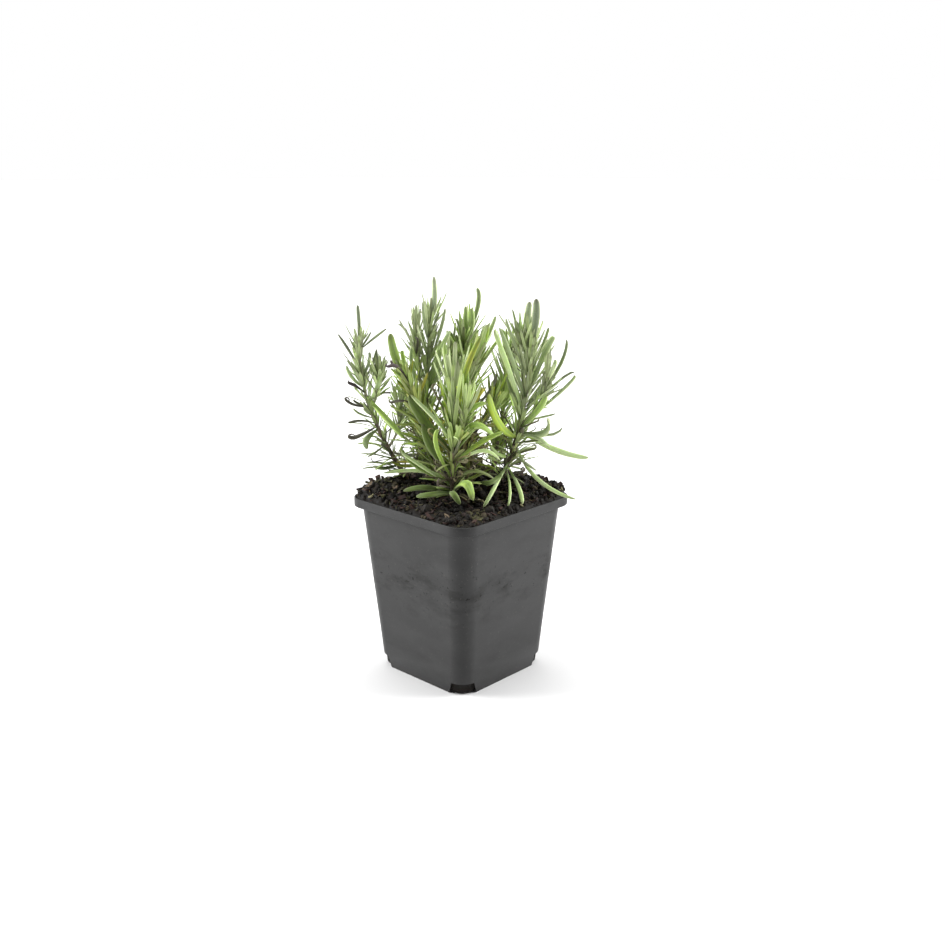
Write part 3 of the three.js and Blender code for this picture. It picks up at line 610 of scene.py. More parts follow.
# Each stem: where it leaves the soil, a point half way up, and where its tip's tuft begins, in the plant's
# own frame, with y away from the camera; its leaf pairs, the leaf lengths at the foot, middle and top, the
# widest blade, the spread in degrees at the foot and top, the bare share, the turn of the first pair, and
# fresh, from silvery 0 to yellow-green 1. sides are side shoots. own are single leaves: share of the stem's
# height, middle, tip, width, and look, which is 0 like its stem, towards 1 withered, towards -1 yellow-green,
# or the name of one of LOOKS. under is the number of leaves in the undergrowth, brown past UNDER_LEAVES.
STEMS = [
    dict(
        name="stem_left", under=30, root=(-30, 8), through=(-49, 3, 148), top=(-54, 0, 186), pairs=9,
        leaf=(15, 15, 13), width=1.9, spread=(56, 12), bare=0.14, turn=20, fresh=0.25,
        sides=[
            dict(at=0.5, through=(-45, -3, 158), top=(-44, -4, 168), pairs=3, leaf=(12, 13, 13), turn=50),
            dict(at=0.22, through=(-34, 2, 138), top=(-33, 0, 150), pairs=4, leaf=(13, 15, 14), turn=15),
        ],
        own=[
            (0.99, (-54, 0, 197), (-54, 0, 205), 2.2, 0.05), (0.78, (-59, -2, 181), (-65, -2, 190), 1.8, 0.4),
            (0.93, (-46, -3, 188), (-39, -3, 193), 1.7, 0.3),
            (0.66, (-58, -2, 167), (-61, -2, 173), 2.4, 0.1), (0.72, (-49, -1, 175), (-49, -1, 180), 2, 0.1),
            (0.7, (-47, 1, 174), (-45, 1, 181), 1.9, 0.3), (0.55, (-45, -5, 161), (-43, -5, 171), 3.4, 0),
            (0.62, (-57, -4, 163), (-61, -4, 164), 2.4, 1), (0.52, (-59, 0, 152), (-64, 0, 158), 2, 0.9),
            (0.5, (-55, 4, 151), (-60, 4, 154), 1.6, 0.7), (0.44, (-54, -3, 147), (-58, -3, 150), 1.6, 0.1),
            (0.4, (-56, -2, 143), (-64, -2, 140), 1.8, 0.8), (0.38, (-57, 3, 133), (-62, 3, 134), 3, 0.9),
            (0.36, (-51, -6, 134), (-51, -6, 128), 3.8, -0.1),
            (0.25, (-46, -3, 126), (-51, -3, 123), 1.4, 0.5), (0.1, (-41, -4, 117), (-48, -4, 118), 2.4, 0.3),
            (0.6, (-41, -8, 147), (-30, -8, 134), 3.4, -0.6), (0.58, (-41, 5, 157), (-31, 5, 155), 1.3, 0.9),
            (0.3, (-35, 3, 140), (-28, 3, 143), 1.3, 0.7), (0.16, (-41, 1, 127), (-46, 1, 131), 1.6, 0.6),
        ],
    ),
    dict(
        name="stem_tall", root=(-17, 10), through=(-18.5, 10, 152), top=(-15.5, 11, 198), pairs=14,
        leaf=(20, 21, 17), width=2.1, spread=(54, 12), bare=0.1, turn=65, fresh=0.2,
        sides=[
            dict(at=0.44, through=(-23, 8, 168), top=(-24, 8, 189), pairs=6, leaf=(15, 16, 16), turn=10),
            dict(at=0.3, through=(-9, 14, 158), top=(-5, 16, 174), pairs=4, leaf=(18, 20, 18), turn=30),
        ],
        own=[
            (0.6, (-28, 8, 188), (-34, 8, 193), 1.7, 0.4), (0.7, (-11, 8, 190), (-8, 8, 202), 2, 0.3),
            (0.99, (-14, 10, 206), (-14, 10, 219), 3.3, 0), (0.85, (-19, 6, 195), (-20, 6, 206), 2.2, 0.1),
            (0.6, (-11, 2, 180), (-6, 2, 191), 3, -0.7), (0.55, (-13, 3, 172), (-11, 3, 186), 3.4, -0.4),
            (0.42, (-26, 4, 171), (-25, 4, 184), 2.2, 0), (0.5, (-13, 6, 165), (-9, 6, 176), 2.4, 0.2),
        ],
    ),
    dict(
        name="stem_back", under=110, root=(-2, 15), through=(0.5, 16, 150), top=(5, 16, 188), pairs=13,
        leaf=(20, 22, 18), width=2.2, spread=(54, 12), bare=0.12, turn=0, fresh=0.45,
        sides=[dict(at=0.48, through=(1, 11, 170), top=(1.5, 10, 184), pairs=5, leaf=(15, 17, 17), turn=35)],
        own=[
            (0.99, (10, 16, 203), (9, 16, 212), 2.9, 0.1), (0.72, (0, 12, 190), (-3, 12, 196), 1.7, 0.4),
            (0.85, (3, 10, 193), (3, 10, 203), 2.8, 0), (0.88, (6, 9, 193), (6, 9, 202), 3.2, -0.5),
            (0.6, (-2, 9, 179), (-6, 9, 190), 2.2, 0), (0.66, (10, 13, 182), (12, 13, 190), 2.2, 0.1),
        ],
    ),
    dict(
        name="stem_right", root=(22, 2), through=(33.5, 0, 145), top=(37.5, 2, 184), pairs=12,
        leaf=(18, 24, 20), width=2.4, spread=(56, 11), bare=0.2, turn=45, fresh=0.2,
        sides=[
            dict(at=0.42, through=(42, -3, 152), top=(46, -4, 164), pairs=3, leaf=(16, 18, 18), turn=80),
            dict(at=0.56, through=(33, 4, 174), top=(32, 5, 184), pairs=3, leaf=(17, 18, 18), turn=25),
        ],
        own=[
            (0.94, (36, 4, 195), (37, 4, 206), 4.4, 0.05), (0.96, (40, 0, 196), (40, 0, 208), 4.6, 0),
            (0.75, (27, -4, 189), (24, -4, 198), 1.8, 0.3), (0.8, (33, 6, 186), (30, 6, 196), 1.7, 0.2),
            (0.74, (45, 3, 185), (47, 3, 192), 1.9, 0.2), (0.66, (45, -4, 181), (50, -4, 188), 3.8, -0.5),
            (0.5, (52, 3, 169), (57, 3, 186), 2.2, 0.2), (0.48, (47, -4, 167), (50, -4, 176), 2.8, -0.1),
            (0.52, (54, 7, 163), (62, 7, 167), 1.7, 0.4), (0.42, (54, -6, 160), (61, -6, 168), 2.2, 0.2),
            (0.4, (41, -9, 150), (45, -9, 158), 4, -0.5), (0.44, (44, 4, 143), (52, 4, 145), 1.5, 0.3),
            (0.38, (44, -11, 138), (46, -11, 146), 5, -0.2), (0.36, (48, -4, 135), (55, -4, 139), 1.9, 0.4),
            (0.4, (50, -3, 127), (70, -3, 122), 3.9, "pale"),
            (0.37, (41, -10, 135), (48, -10, 129), 2.4, -0.2),
            (0.3, (41, -10, 112.4), (62, -16, 102), 2.6, "pale"),
            (0.15, (18, -24, 112.5), (11, -33, 103), 2.3, "pale"),
            (0.1, (26, -22, 110), (24, -31, 102.5), 1.6, "pale"),
            (0.12, (31, -18, 109.5), (32, -27, 102.8), 2.5, "pale"),
            (0.12, (18, -22, 115), (10, -22, 113), 3.2, "deep"),
            (0.62, (28, -9, 176), (20, -9, 194), 2.8, -0.3),
            (0.52, (25, -15, 174), (17, -17, 194), 3.2, -0.5),
            (0.34, (21, -15, 143), (15, -15, 160), 5.2, "yellow"),
            (0.5, (28, 8, 163), (29, 8, 178), 5.6, 0.12), (0.2, (34, -8, 121), (41, -8, 116), 1.8, 0.4),
            (0.22, (21, -12, 126), (14, -12, 134), 2.6, -0.3),
        ],
    ),
    dict(
        name="stem_front", under=90, root=(-5, -20), through=(-4.5, -21, 132), top=(-4, -20, 164), pairs=9,
        leaf=(26, 30, 28), width=3.2, spread=(34, 7), bare=0.44, turn=20, fresh=0.35,
        sides=[dict(at=0.42, through=(0, -25, 140), top=(2, -27, 152), pairs=2, leaf=(18, 22, 22), turn=60)],
        own=[
            (0.06, (2, -34, 117), (6, -34, 107), 5.2, -0.5),
            (0.04, (-18, -25, 112), (-31, -25, 110), 3.4, "deep"),
            (0.05, (-14, -33, 111), (-24, -33, 109), 3.4, "deep"),
            (0.16, (-23, -16, 120), (-32, -16, 132), 2, -0.5),
            (0.45, (-18, -17, 144), (-27, -17, 160), 5.6, "deep"),
            (0.55, (-14, -25, 149), (-26, -25, 162), 2.4, "pale"),
            (0.3, (-15, -20, 131), (-20, -20, 145), 4.6, "deep"),
            (0.2, (-13, -28, 135), (-12, -28, 144), 2.6, -0.3),
            (0.35, (9, -26, 136), (22, -26, 142), 3, -0.6), (0.5, (6, -22, 145), (18, -22, 138), 4.4, -0.4),
            (0.62, (4, -24, 153), (13, -24, 157), 3.4, -0.3),
            (0.02, (-5, -38, 113), (-1, -38, 106), 3.6, "deep"),
            (0.1, (-17, -12, 117), (-42, -12, 116), 2.6, "pale"),
            (0.08, (4, -27, 121), (17, -27, 117), 2.2, 0.5),
        ],
    ),
    dict(
        name="stem_middle", under=120, root=(6, -6), through=(1, -10, 144), top=(7, -11, 176), pairs=11,
        leaf=(22, 26, 22), width=2.7, spread=(52, 10), bare=0.1, turn=75, fresh=0.75,
        sides=[dict(at=0.4, through=(13, -3, 142), top=(17, -1, 152), pairs=3, leaf=(16, 20, 20), turn=20)],
        own=[
            (0.96, (14, -8, 189), (18, -8, 200), 2.4, 0.1), (0.8, (10, -10, 182), (14, -9, 195), 4.4, -0.8),
            (0.6, (8, -18, 160), (11, -18, 164), 4.2, -1), (0.75, (15, -4, 180), (20, -4, 187), 2, 0.2),
            (0.5, (17, -2, 162), (16, -2, 169), 2.2, 0.8), (0.3, (12, 2, 142), (14, 2, 149), 2.6, 0.9),
        ],
    ),
    dict(
        name="stem_near_left", root=(-12, -8), through=(-20, -9, 142), top=(-29, -9, 168), pairs=9,
        leaf=(22, 22, 12), width=2.8, spread=(58, 18), bare=0.1, turn=10, fresh=0.85, sides=[],
        own=[
            (0.96, (-34, -8, 178), (-37, -8, 191), 4.9, "green"),
            (0.85, (-34, -13, 175), (-43, -13, 169), 2.6, 1), (0.9, (-34, -5, 173), (-39, -5, 175), 2, 1),
            (0.7, (-33, -12, 156), (-39, -12, 153), 2, 0.9), (0.5, (-30, -6, 148), (-34, -6, 143), 1.6, 0.7),
            (0.8, (-30, -3, 175), (-31, -3, 181), 2.4, 0.05),
            (0.5, (-27, -12, 143), (-35, -12, 143), 1.8, 0.4),
            (0.25, (-31, -6, 125), (-40, -6, 128), 1.8, 0.7), (0.15, (-29, -4, 118), (-38, -4, 121), 2, 0.1),
        ],
    ),
    dict(
        name="stem_rear_right", root=(18, 17), through=(24, 18, 144), top=(26, 19, 174), pairs=11,
        leaf=(20, 24, 20), width=2.5, spread=(56, 13), bare=0.14, turn=30, fresh=0.5, sides=[],
        own=[
            (0.9, (26, 19, 183), (22, 19, 189), 2.4, 0.1),
        ],
    ),
    dict(
        name="stem_rear_left", root=(-16, 24), through=(-25, 28, 134), top=(-29, 30, 152), pairs=9,
        leaf=(16, 20, 18), width=2.1, spread=(60, 18), bare=0.15, turn=55, fresh=0.4, sides=[], own=[],
    ),
    dict(
        name="stem_rear", under=100, root=(3, 33), through=(4, 39, 142), top=(7, 43, 170), pairs=11,
        leaf=(20, 24, 20), width=2.4, spread=(58, 16), bare=0.15, turn=15, fresh=0.5, sides=[], own=[],
    ),
]


def unit(v):
    """A direction as a unit vector."""
    return v / np.linalg.norm(v)


def turned_about(v, axis, degrees):
    """A direction turned about an axis."""
    a = math.radians(degrees)
    return v * math.cos(a) + np.cross(axis, v) * math.sin(a) + axis * (axis @ v) * (1 - math.cos(a))


def squared_to(v, along):
    """A direction made square to another, as a unit vector."""
    return unit(v - along * (along @ v))


def to_pot(x, y):
    """A place of the plant's frame in the pot's frame."""
    c, s = math.cos(PLANT_TURN), math.sin(PLANT_TURN)
    return x * c - y * s, x * s + y * c


def turned_to_pot(points):
    """Points or directions of the plant's frame in the pot's frame."""
    x, y = to_pot(points[:, 0], points[:, 1])
    return np.stack([x, y, points[:, 2]], 1)


class Bend:
    """A smooth arc from a, with its control point at b, to c."""

    def __init__(self, a, b, c):
        self.a, self.b, self.c = (np.array(p, float) for p in (a, b, c))

    def at(self, t):
        """The place a share of the way along the arc, or the places for several shares."""
        t = np.asarray(t, float)[..., None]
        return (1 - t) ** 2 * self.a + 2 * t * (1 - t) * self.b + t**2 * self.c

    def along(self, t):
        """The direction of the arc there."""
        return unit((1 - t) * (self.b - self.a) + t * (self.c - self.b))


def arc_through(a, b, c):
    """The arc from a to c that passes through b half way."""
    a, b, c = (np.array(p, float) for p in (a, b, c))
    return Bend(a, 2 * b - 0.5 * a - 0.5 * c, c)


WIDEST_AT, FOOT_WIDTH, TAPER = 0.62, 0.3, 0.75


def blade_width(t):
    """Share of the full width along a blade."""
    swell = np.sin(np.minimum(1, t / WIDEST_AT) * math.pi / 2)
    return FOOT_WIDTH + (1 - FOOT_WIDTH) * swell - TAPER * np.maximum(0, t - WIDEST_AT)


class Rods:
    """Everything that has grown so far, as short rods. A leaf's own foot may touch its stem."""

    def __init__(self, most=12000, foot=0.3):
        self.a, self.b = np.zeros((most, 3)), np.zeros((most, 3))
        self.radius, self.node, self.woody = np.zeros(most), np.zeros(most, int), np.zeros(most, bool)
        self.count, self.foot = 0, foot

    def add(self, bend, radius_at, node, parts, woody):
        """Adds a shoot or a leaf of one stem, cut into a number of parts."""
        stops = np.linspace(0, 1, parts + 1)
        points, radii = bend.at(stops), radius_at(stops)
        new = slice(self.count, self.count + parts)
        self.a[new], self.b[new] = points[:-1], points[1:]
        self.radius[new] = np.maximum(radii[:-1], radii[1:])
        self.node[new], self.woody[new] = node, woody
        self.count += parts

    def clear(self, p, t, half, node, apart):
        """True where the places p along a new leaf, half wide, are clear of every rod."""
        n = self.count
        a, ab = self.a[:n], self.b[:n] - self.a[:n]
        ap = p[:, None] - a
        share = np.clip((ap * ab).sum(2) / (ab * ab).sum(1), 0, 1)
        gap = np.linalg.norm(ap - share[..., None] * ab, axis=2)
        same = self.node[:n] == node
        room = np.where(same, apart, self.radius[:n] + half[:, None] + LEAF_CLEARANCE)
        ignored = same & (self.woody[:n] | (t[:, None] < self.foot))
        return not ((gap < room) & ~ignored).any()


rods = Rods()
CHECK_STOPS = np.arange(1, 14) / 13
OFF_RIM, LEAF_DEPTH = 1, 0.6


def is_clear(leaf, node, apart):
    """True where a leaf keeps clear of the soil, the rim and every other leafy stem."""
    p = leaf["bend"].at(CHECK_STOPS)
    half = leaf["width"] * blade_width(CHECK_STOPS) / 2
    x, y = to_pot(p[:, 0], p[:, 1])
    ground = np.maximum(POT_HEIGHT, soil_height(x, y)) + half * LEAF_DEPTH + LEAF_CLEARANCE
    if ((beyond_rim(x, y) < half + OFF_RIM) & (p[:, 2] < ground)).any():
        return False
    return rods.clear(p, CHECK_STOPS, half, node, apart)


INSIDE_BY = 0.6
box_low, box_high = np.array(cad_low) / MM + INSIDE_BY, np.array(cad_high) / MM - INSIDE_BY


def within_plant(leaf):
    """True where a leaf reaches no further out than the plant's outermost leaves."""
    p = turned_to_pot(leaf["bend"].at(CHECK_STOPS))
    return ((p > box_low) & (p < box_high)).all()


def rule_leaf(node, along, turn, spread, length, sag, width, twist):
    """A leaf that leaves the stem at an angle and then sags or curls in."""
    outward = turned_about(squared_to(np.array((1.0, 0, 0)), along), along, turn)
    foot = node + outward * LEAF_SET_OFF
    start = along * math.cos(math.radians(spread)) + outward * math.sin(math.radians(spread))
    tip = foot + start * length - np.array((0, 0, sag * length))
    side = turned_about(np.cross(along, outward), start, twist)
    return dict(bend=Bend(foot, foot + start * length / 2, tip), side=side, width=width, length=length)


def own_leaf(foot, middle, tip, width):
    """A leaf through a middle and a tip of its own, its face turned up and towards the camera."""
    run = np.array(tip, float) - foot
    side = unit(np.cross(LEAF_FACE, run))
    return dict(bend=arc_through(foot, middle, tip), side=side, width=width, length=np.linalg.norm(run))


# How much leaves vary, and how each try at bending one clear turns it, draws it in and shortens it.
VARY_TURN, VARY_SPREAD, VARY_LENGTH, VARY_SAG, VARY_WIDTH, VARY_TWIST = 24, 0.14, 0.16, 0.12, 0.15, 50
TRY_TURN, TRY_EASE, TRY_SHORTER = 11, 0.07, 0.035


def grow(draw, node_id, apart, node, along, turn, spread, length, sag, width):
    """Grows one leaf, bending it clear of its neighbours, and returns it, or None where there is no room."""
    turn = turn + VARY_TURN * (draw() - 0.5)
    spread = spread * (1 + VARY_SPREAD * (2 * draw() - 1))
    length = length * (1 + VARY_LENGTH * (2 * draw() - 1))
    sag = sag + VARY_SAG * (draw() - 0.5)
    width = width * (1 + VARY_WIDTH * (2 * draw() - 1))
    twist = VARY_TWIST * (draw() - 0.5)
    for i in range(LEAF_TRIES):
        swing = (1 if i % 2 else -1) * TRY_TURN * math.ceil(i / 2)
        ease, shorter = 1 - TRY_EASE * i, length * (1 - TRY_SHORTER * i)
        leaf = rule_leaf(node, along, turn + swing, spread * ease, shorter, sag * ease, width, twist)
        if is_clear(leaf, node_id, apart):
            return leaf
    return None


LAST_PAIR, PAIR_TURN, TOP_SPREADS, SAG_FOOT, SAG_TOP, FOOT_NARROWER = 0.95, 90, 14, 0.22, -0.04, 0.85
TUFT_LEAVES, TUFT_AT, TUFT_TURN, TUFT_MIDDLE_SPREAD, TUFT_SAG = 5, 0.985, 40, 3, -0.02
TUFT_SPREAD, TUFT_LENGTH, TUFT_WIDTH, TUFT_UP = 0.8, 0.86, 0.9, 1.1


def asked_leaves(shoot):
    """The pairs up a shoot, then its tuft: height, place, direction, turn, spread, length, sag, width."""
    asked = []
    foot, middle, top = shoot["leaf"]
    low_spread, high_spread = shoot["spread"]
    for i in range(shoot["pairs"]):
        up = i / max(1, shoot["pairs"] - 1)
        t = mix(shoot["bare"], LAST_PAIR, up)
        length = mix(foot, middle, 2 * up) if up < 0.5 else mix(middle, top, 2 * up - 1)
        spread = mix(low_spread, high_spread + TOP_SPREADS, up)
        sag = mix(SAG_FOOT, SAG_TOP, math.sqrt(up))
        width = shoot["width"] * mix(FOOT_NARROWER, 1, up)
        for half in (0, 180):
            turn = shoot["turn"] + PAIR_TURN * i + half
            asked.append((up, shoot["bend"].at(t), shoot["bend"].along(t), turn, spread, length, sag, width))
    place, along = shoot["bend"].at(TUFT_AT), shoot["bend"].along(1)
    for i in range(TUFT_LEAVES):
        spread = high_spread * TUFT_SPREAD if i else TUFT_MIDDLE_SPREAD
        length = top * (TUFT_LENGTH if i else 1)
        turn = shoot["turn"] + TUFT_TURN + 360 / TUFT_LEAVES * i
        asked.append((TUFT_UP, place, along, turn, spread, length, TUFT_SAG, shoot["width"] * TUFT_WIDTH))
    return asked


SIDE_SHOOT, SIDE_SPREAD, SIDE_BARE, ROD_THICKER = 0.6, 50, 0.35, 1.1
for node_id, stem in enumerate(STEMS):
    ground = float(soil_height(*to_pot(*stem["root"])))
    bend = arc_through((*stem["root"], ground + 1), stem["through"], stem["top"])
    shoots = [{**stem, "bend": bend, "radius": STEM_BASE, "buried": True}]
    for side in stem["sides"]:
        spread = SIDE_SPREAD, stem["spread"][1]
        shoot = {"spread": spread, "bare": SIDE_BARE, "width": stem["width"], **side}
        arc = arc_through(bend.at(side["at"]), side["through"], side["top"])
        shoots.append({**shoot, "bend": arc, "radius": STEM_BASE * SIDE_SHOOT, "buried": False})
    stem.update(shoots=shoots, leaves=[])
    for shoot in shoots:
        thick = shoot["radius"]
        rods.add(shoot["bend"], lambda t: mix(thick, STEM_TIP, t) * ROD_THICKER, node_id, STEM_STEPS, True)


def every_shoot():
    """Each shoot with its stem and the stem's number."""
    return [(node_id, stem, shoot) for node_id, stem in enumerate(STEMS) for shoot in stem["shoots"]]


# Painted shade by a leaf's height and side, a tint by its depth in the plant, and the tone and shade of
# LOOKS.
SHADE_SEED, SHADE_AT, SHADE_FROM, SHADE_TO = 61, 0.6, 106, 156
SHADE_LOW, SHADE_HIGH, SHADE_VARIES, SHADE_RIGHT, RIGHT_REACH = 0.82, 1.33, 0.65, 0.6, 25
TONE_OUTER, TONE_INNER, INNER_X, INNER_Z, INNER_REACH = -0.12, 0.36, -8, 140, 46
LOOKS = dict(pale=(0.32, 1.55), deep=(0.68, 0.46), green=(0.68, 0.84), yellow=(1.02, 1.4), olive=(1.05, 0.85))
dim, tint = draw_from(SHADE_SEED), draw_from(LEAF_SEED + 6)


def keep(node_id, leaf, tone, wither, parts=6, slim=1.0, look=None):
    """Adds a leaf to its stem, with painted shade: the lower it hangs the darker it is, most so at the left.
    """
    x, _, z = leaf["bend"].at(SHADE_AT)
    up = np.clip((z - SHADE_FROM) / (SHADE_TO - SHADE_FROM), 0, 1)
    low = SHADE_LOW + SHADE_RIGHT * np.clip(x / RIGHT_REACH, 0, 1)
    shade = mix(low, SHADE_HIGH, up) * (1 + SHADE_VARIES * (dim() - 0.5))
    inner = np.clip(1 - np.hypot(x - INNER_X, z - INNER_Z) / INNER_REACH, 0, 1)
    tone, shade = LOOKS.get(look, (tone + TONE_OUTER + TONE_INNER * inner, shade))
    leaf.update(tone=tone, shade=shade, wither=wither, slim=slim)
    STEMS[node_id]["leaves"].append(leaf)
    rods.add(leaf["bend"], lambda t: leaf["width"] * blade_width(t) / 2, node_id, parts, False)


# Each stem's own leaves. Those that are well withered are brown and aren't tinted.
OWN_WITHERED, WITHERED_TONE, OWN_LOWER, OWN_VARIES, OWN_FRESHER = 0.6, 0.1, 0.3, 0.3, 0.5
for node_id, stem in enumerate(STEMS):
    for at, middle, tip, width, look in stem["own"]:
        leaf = own_leaf(stem["shoots"][0]["bend"].at(at), middle, tip, width)
        if is_clear(leaf, node_id, 0):
            dry, tone = 0 if look in LOOKS else look, WITHERED_TONE
            if dry <= OWN_WITHERED:
                tone = stem["fresh"] + OWN_LOWER * (0.6 - at) + OWN_VARIES * (tint() - 0.5)
                tone -= OWN_FRESHER * min(dry, 0)
            keep(node_id, leaf, tone, max(dry, 0), look=look)

# The leaf pairs and tufts. Some leaves low down are dry, and a few anywhere are dull or yellow.
LOW_FRESHER, PAIR_TONE, PAIR_VARIES, PAIR_SLIM = 0.3, -0.1, 0.8, 0.8
DRY, DULL, DRY_LOW, DULL_SHARE, YELLOW_FROM, YELLOW_TONE = 0.9, 0.42, 0.1, 0.14, 0.92, 0.5
draw = draw_from(LEAF_SEED)
for node_id, stem, shoot in every_shoot():
    for up, *asked in asked_leaves(shoot):
        leaf = grow(draw, node_id, LEAF_APART, *asked)
        if leaf:
            low, lot = 1 - min(1, up), tint()
            dry = DRY if lot < DRY_LOW * low else DULL if lot < DRY_LOW * low + DULL_SHARE else 0.0
            tone = stem["fresh"] + LOW_FRESHER * low + PAIR_TONE + PAIR_VARIES * (tint() - 0.48)
            keep(node_id, leaf, tone + (YELLOW_TONE if lot > YELLOW_FROM else 0), dry, slim=PAIR_SLIM)

# Single leaves that the solids leave out, each brought nearer to the camera or further back until clear.
FURTHER_LEAVES = (
    ("stem_front", 0.12, (-19, -24, 122), (-32, -24, 131), 2.2, "pale"),
    ("stem_front", 0.5, (1, -27, 169), (9.4, -27, 192), 3.2, "olive"),
    ("stem_front", 0.3, (9, -30, 133), (20, -31, 128), 2.4, "pale"),
    ("stem_rear_right", 0.5, (26, 9, 167), (26, 8, 183), 5, "deep"),
    ("stem_middle", 0.4, (-1, -14, 150), (-8, -15, 163), 2.6, "green"),
)
SIGHT = np.array((0, -1, 0.376))
for name, at, middle, tip, width, look in FURTHER_LEAVES:
    node_id = [stem["name"] for stem in STEMS].index(name)
    foot = STEMS[node_id]["shoots"][0]["bend"].at(at)
    for i in range(LEAF_TRIES):
        moved = SIGHT * math.ceil(i / 2) * (1 if i % 2 else -1)
        leaf = own_leaf(foot, middle + moved, tip + moved, width)
        if is_clear(leaf, node_id, 0):
            keep(node_id, leaf, 0, 0, look=look)
            break

# The small leaves in the angles of the pairs, which the solids leave out: the lean and the lift of each.
SMALL_SEED, SMALL_APART, SMALL_LEAVES = 29, 0.8, ((-38, 1.2), (38, 1.2), (4, 2.6))
SMALL_LOW, SMALL_HIGH, SMALL_SPREAD, SMALL_SAG, SMALL_WIDTH = 0.62, 0.75, 0.62, 0.3, 0.72
SMALL_FRESHER, SMALL_DULL, SMALL_DULL_SHARE = 0.25, 0.45, 0.16
draw = draw_from(SMALL_SEED)
for node_id, stem, shoot in every_shoot():
    for up, place, along, turn, spread, length, sag, width in asked_leaves(shoot):
        length, spread = length * mix(SMALL_LOW, SMALL_HIGH, min(1, up)), spread * SMALL_SPREAD
        sag, width = sag * SMALL_SAG, width * SMALL_WIDTH
        for lean, lift in SMALL_LEAVES:
            foot = place + along * lift
            leaf = grow(draw, node_id, SMALL_APART, foot, along, turn + lean, spread, length, sag, width)
            if leaf and within_plant(leaf):
                dry = SMALL_DULL if tint() < SMALL_DULL_SHARE else 0.0
                tone = stem["fresh"] + SMALL_FRESHER * (1 - min(1, up)) + PAIR_VARIES * (tint() - 0.5)
                keep(node_id, leaf, tone, dry, parts=4)

# The undergrowth: thin, curved and partly withered leaves low on each stem.
UNDER_SEED, UNDER_APART, UNDER_TONE, UNDER_FRESHER, UNDER_WITHER, GREEN_FROM = 47, 0.5, 0.45, 0.5, 1.6, 0.66
UNDER = dict(at=(0.02, 0.36, 1.3), turn=(0, 360), spread=(24, 52), length=(9, 17), sag=(0.1, 0.3))
UNDER.update(width=(1.1, 1.5, 2))
draw = draw_from(UNDER_SEED)
for node_id, stem in enumerate(STEMS):
    bend = stem["shoots"][0]["bend"]
    for i in range(stem.get("under", UNDER_LEAVES)):
        at, *asked = [drawn(draw, *size) for size in UNDER.values()]
        leaf = grow(draw, node_id, UNDER_APART, bend.at(at), bend.along(at), *asked)
        look = draw()
        if leaf and within_plant(leaf):
            wither = DRY if i >= UNDER_LEAVES else max(0, UNDER_WITHER * (GREEN_FROM - look))
            keep(node_id, leaf, UNDER_TONE + UNDER_FRESHER * look, wither, parts=3)

# The brush up each shoot: short, thin, upright leaflets, the youngest, some of them dusky.
BRUSH_SEED, BRUSH_LEAVES, BRUSH_APART, BRUSH_TURN, BRUSH_SAG = 83, 58, 0.3, 137, -0.02
BRUSH_TONE, BRUSH_FRESHER, DUSKY, DUSKY_SHARE = -0.1, 0.4, 0.45, 0.4
BRUSH = dict(at=(0.35, 0.65, 0.7), spread=(12, 34), length=(6, 7), width=(1.1, 0.6))
draw = draw_from(BRUSH_SEED)
for node_id, stem, shoot in every_shoot():
    bend = shoot["bend"]
    for i in range(BRUSH_LEAVES if shoot["buried"] else BRUSH_LEAVES // 2):
        at, spread, length, width = [drawn(draw, *size) for size in BRUSH.values()]
        asked = (bend.at(at), bend.along(at), BRUSH_TURN * i, spread, length, BRUSH_SAG, width)
        leaf = grow(draw, node_id, BRUSH_APART, *asked)
        look = draw()
        if leaf:
            dry = DUSKY if look < DUSKY_SHARE else 0.0
            keep(node_id, leaf, stem["fresh"] + BRUSH_TONE + BRUSH_FRESHER * look, dry, parts=3)


def strands(name, lines):
    """A mesh of open lines in the plant's frame, each a dict of points and of the numbers that they carry."""
    joined = {key: np.concatenate([line[key] for line in lines]) for key in lines[0]}
    starts = np.cumsum([0] + [len(line["points"]) for line in lines])
    edges = [(i, i + 1) for a, b in zip(starts, starts[1:]) for i in range(a, b - 1)]
    mesh = bpy.data.meshes.new(name)
    mesh.from_pydata((turned_to_pot(joined["points"]) * MM).tolist(), edges, [])
    for key in ("half_width", "tone", "shade", "wither", "along"):
        values = joined[key].astype(np.float32)
        mesh.attributes.new(key, "FLOAT", "POINT").data.foreach_set("value", values)
    side = turned_to_pot(joined["side"]).astype(np.float32).ravel()
    mesh.attributes.new("side", "FLOAT_VECTOR", "POINT").data.foreach_set("vector", side)
    return mesh


# Broad and withered leaves have a ring at each stop, and thin ones at every other stop.
BLADE_STOPS = np.array([0, 0.05, 0.12, 0.22, 0.34, 0.47, 0.6, 0.72, 0.82, 0.9, 0.96, 0.99, 1.0])
FINE_WIDTH, TIP_FROM, TIP_HALF, WITHERED_WIDTH, SWAY = 1.9, 0.84, 0.03, 0.62, 0.022
CURLED, CURL_STOP, CURL_RADIUS, CURL_TURN, CURL_HALF = 0.55, 7, 1.3, 230, 0.3


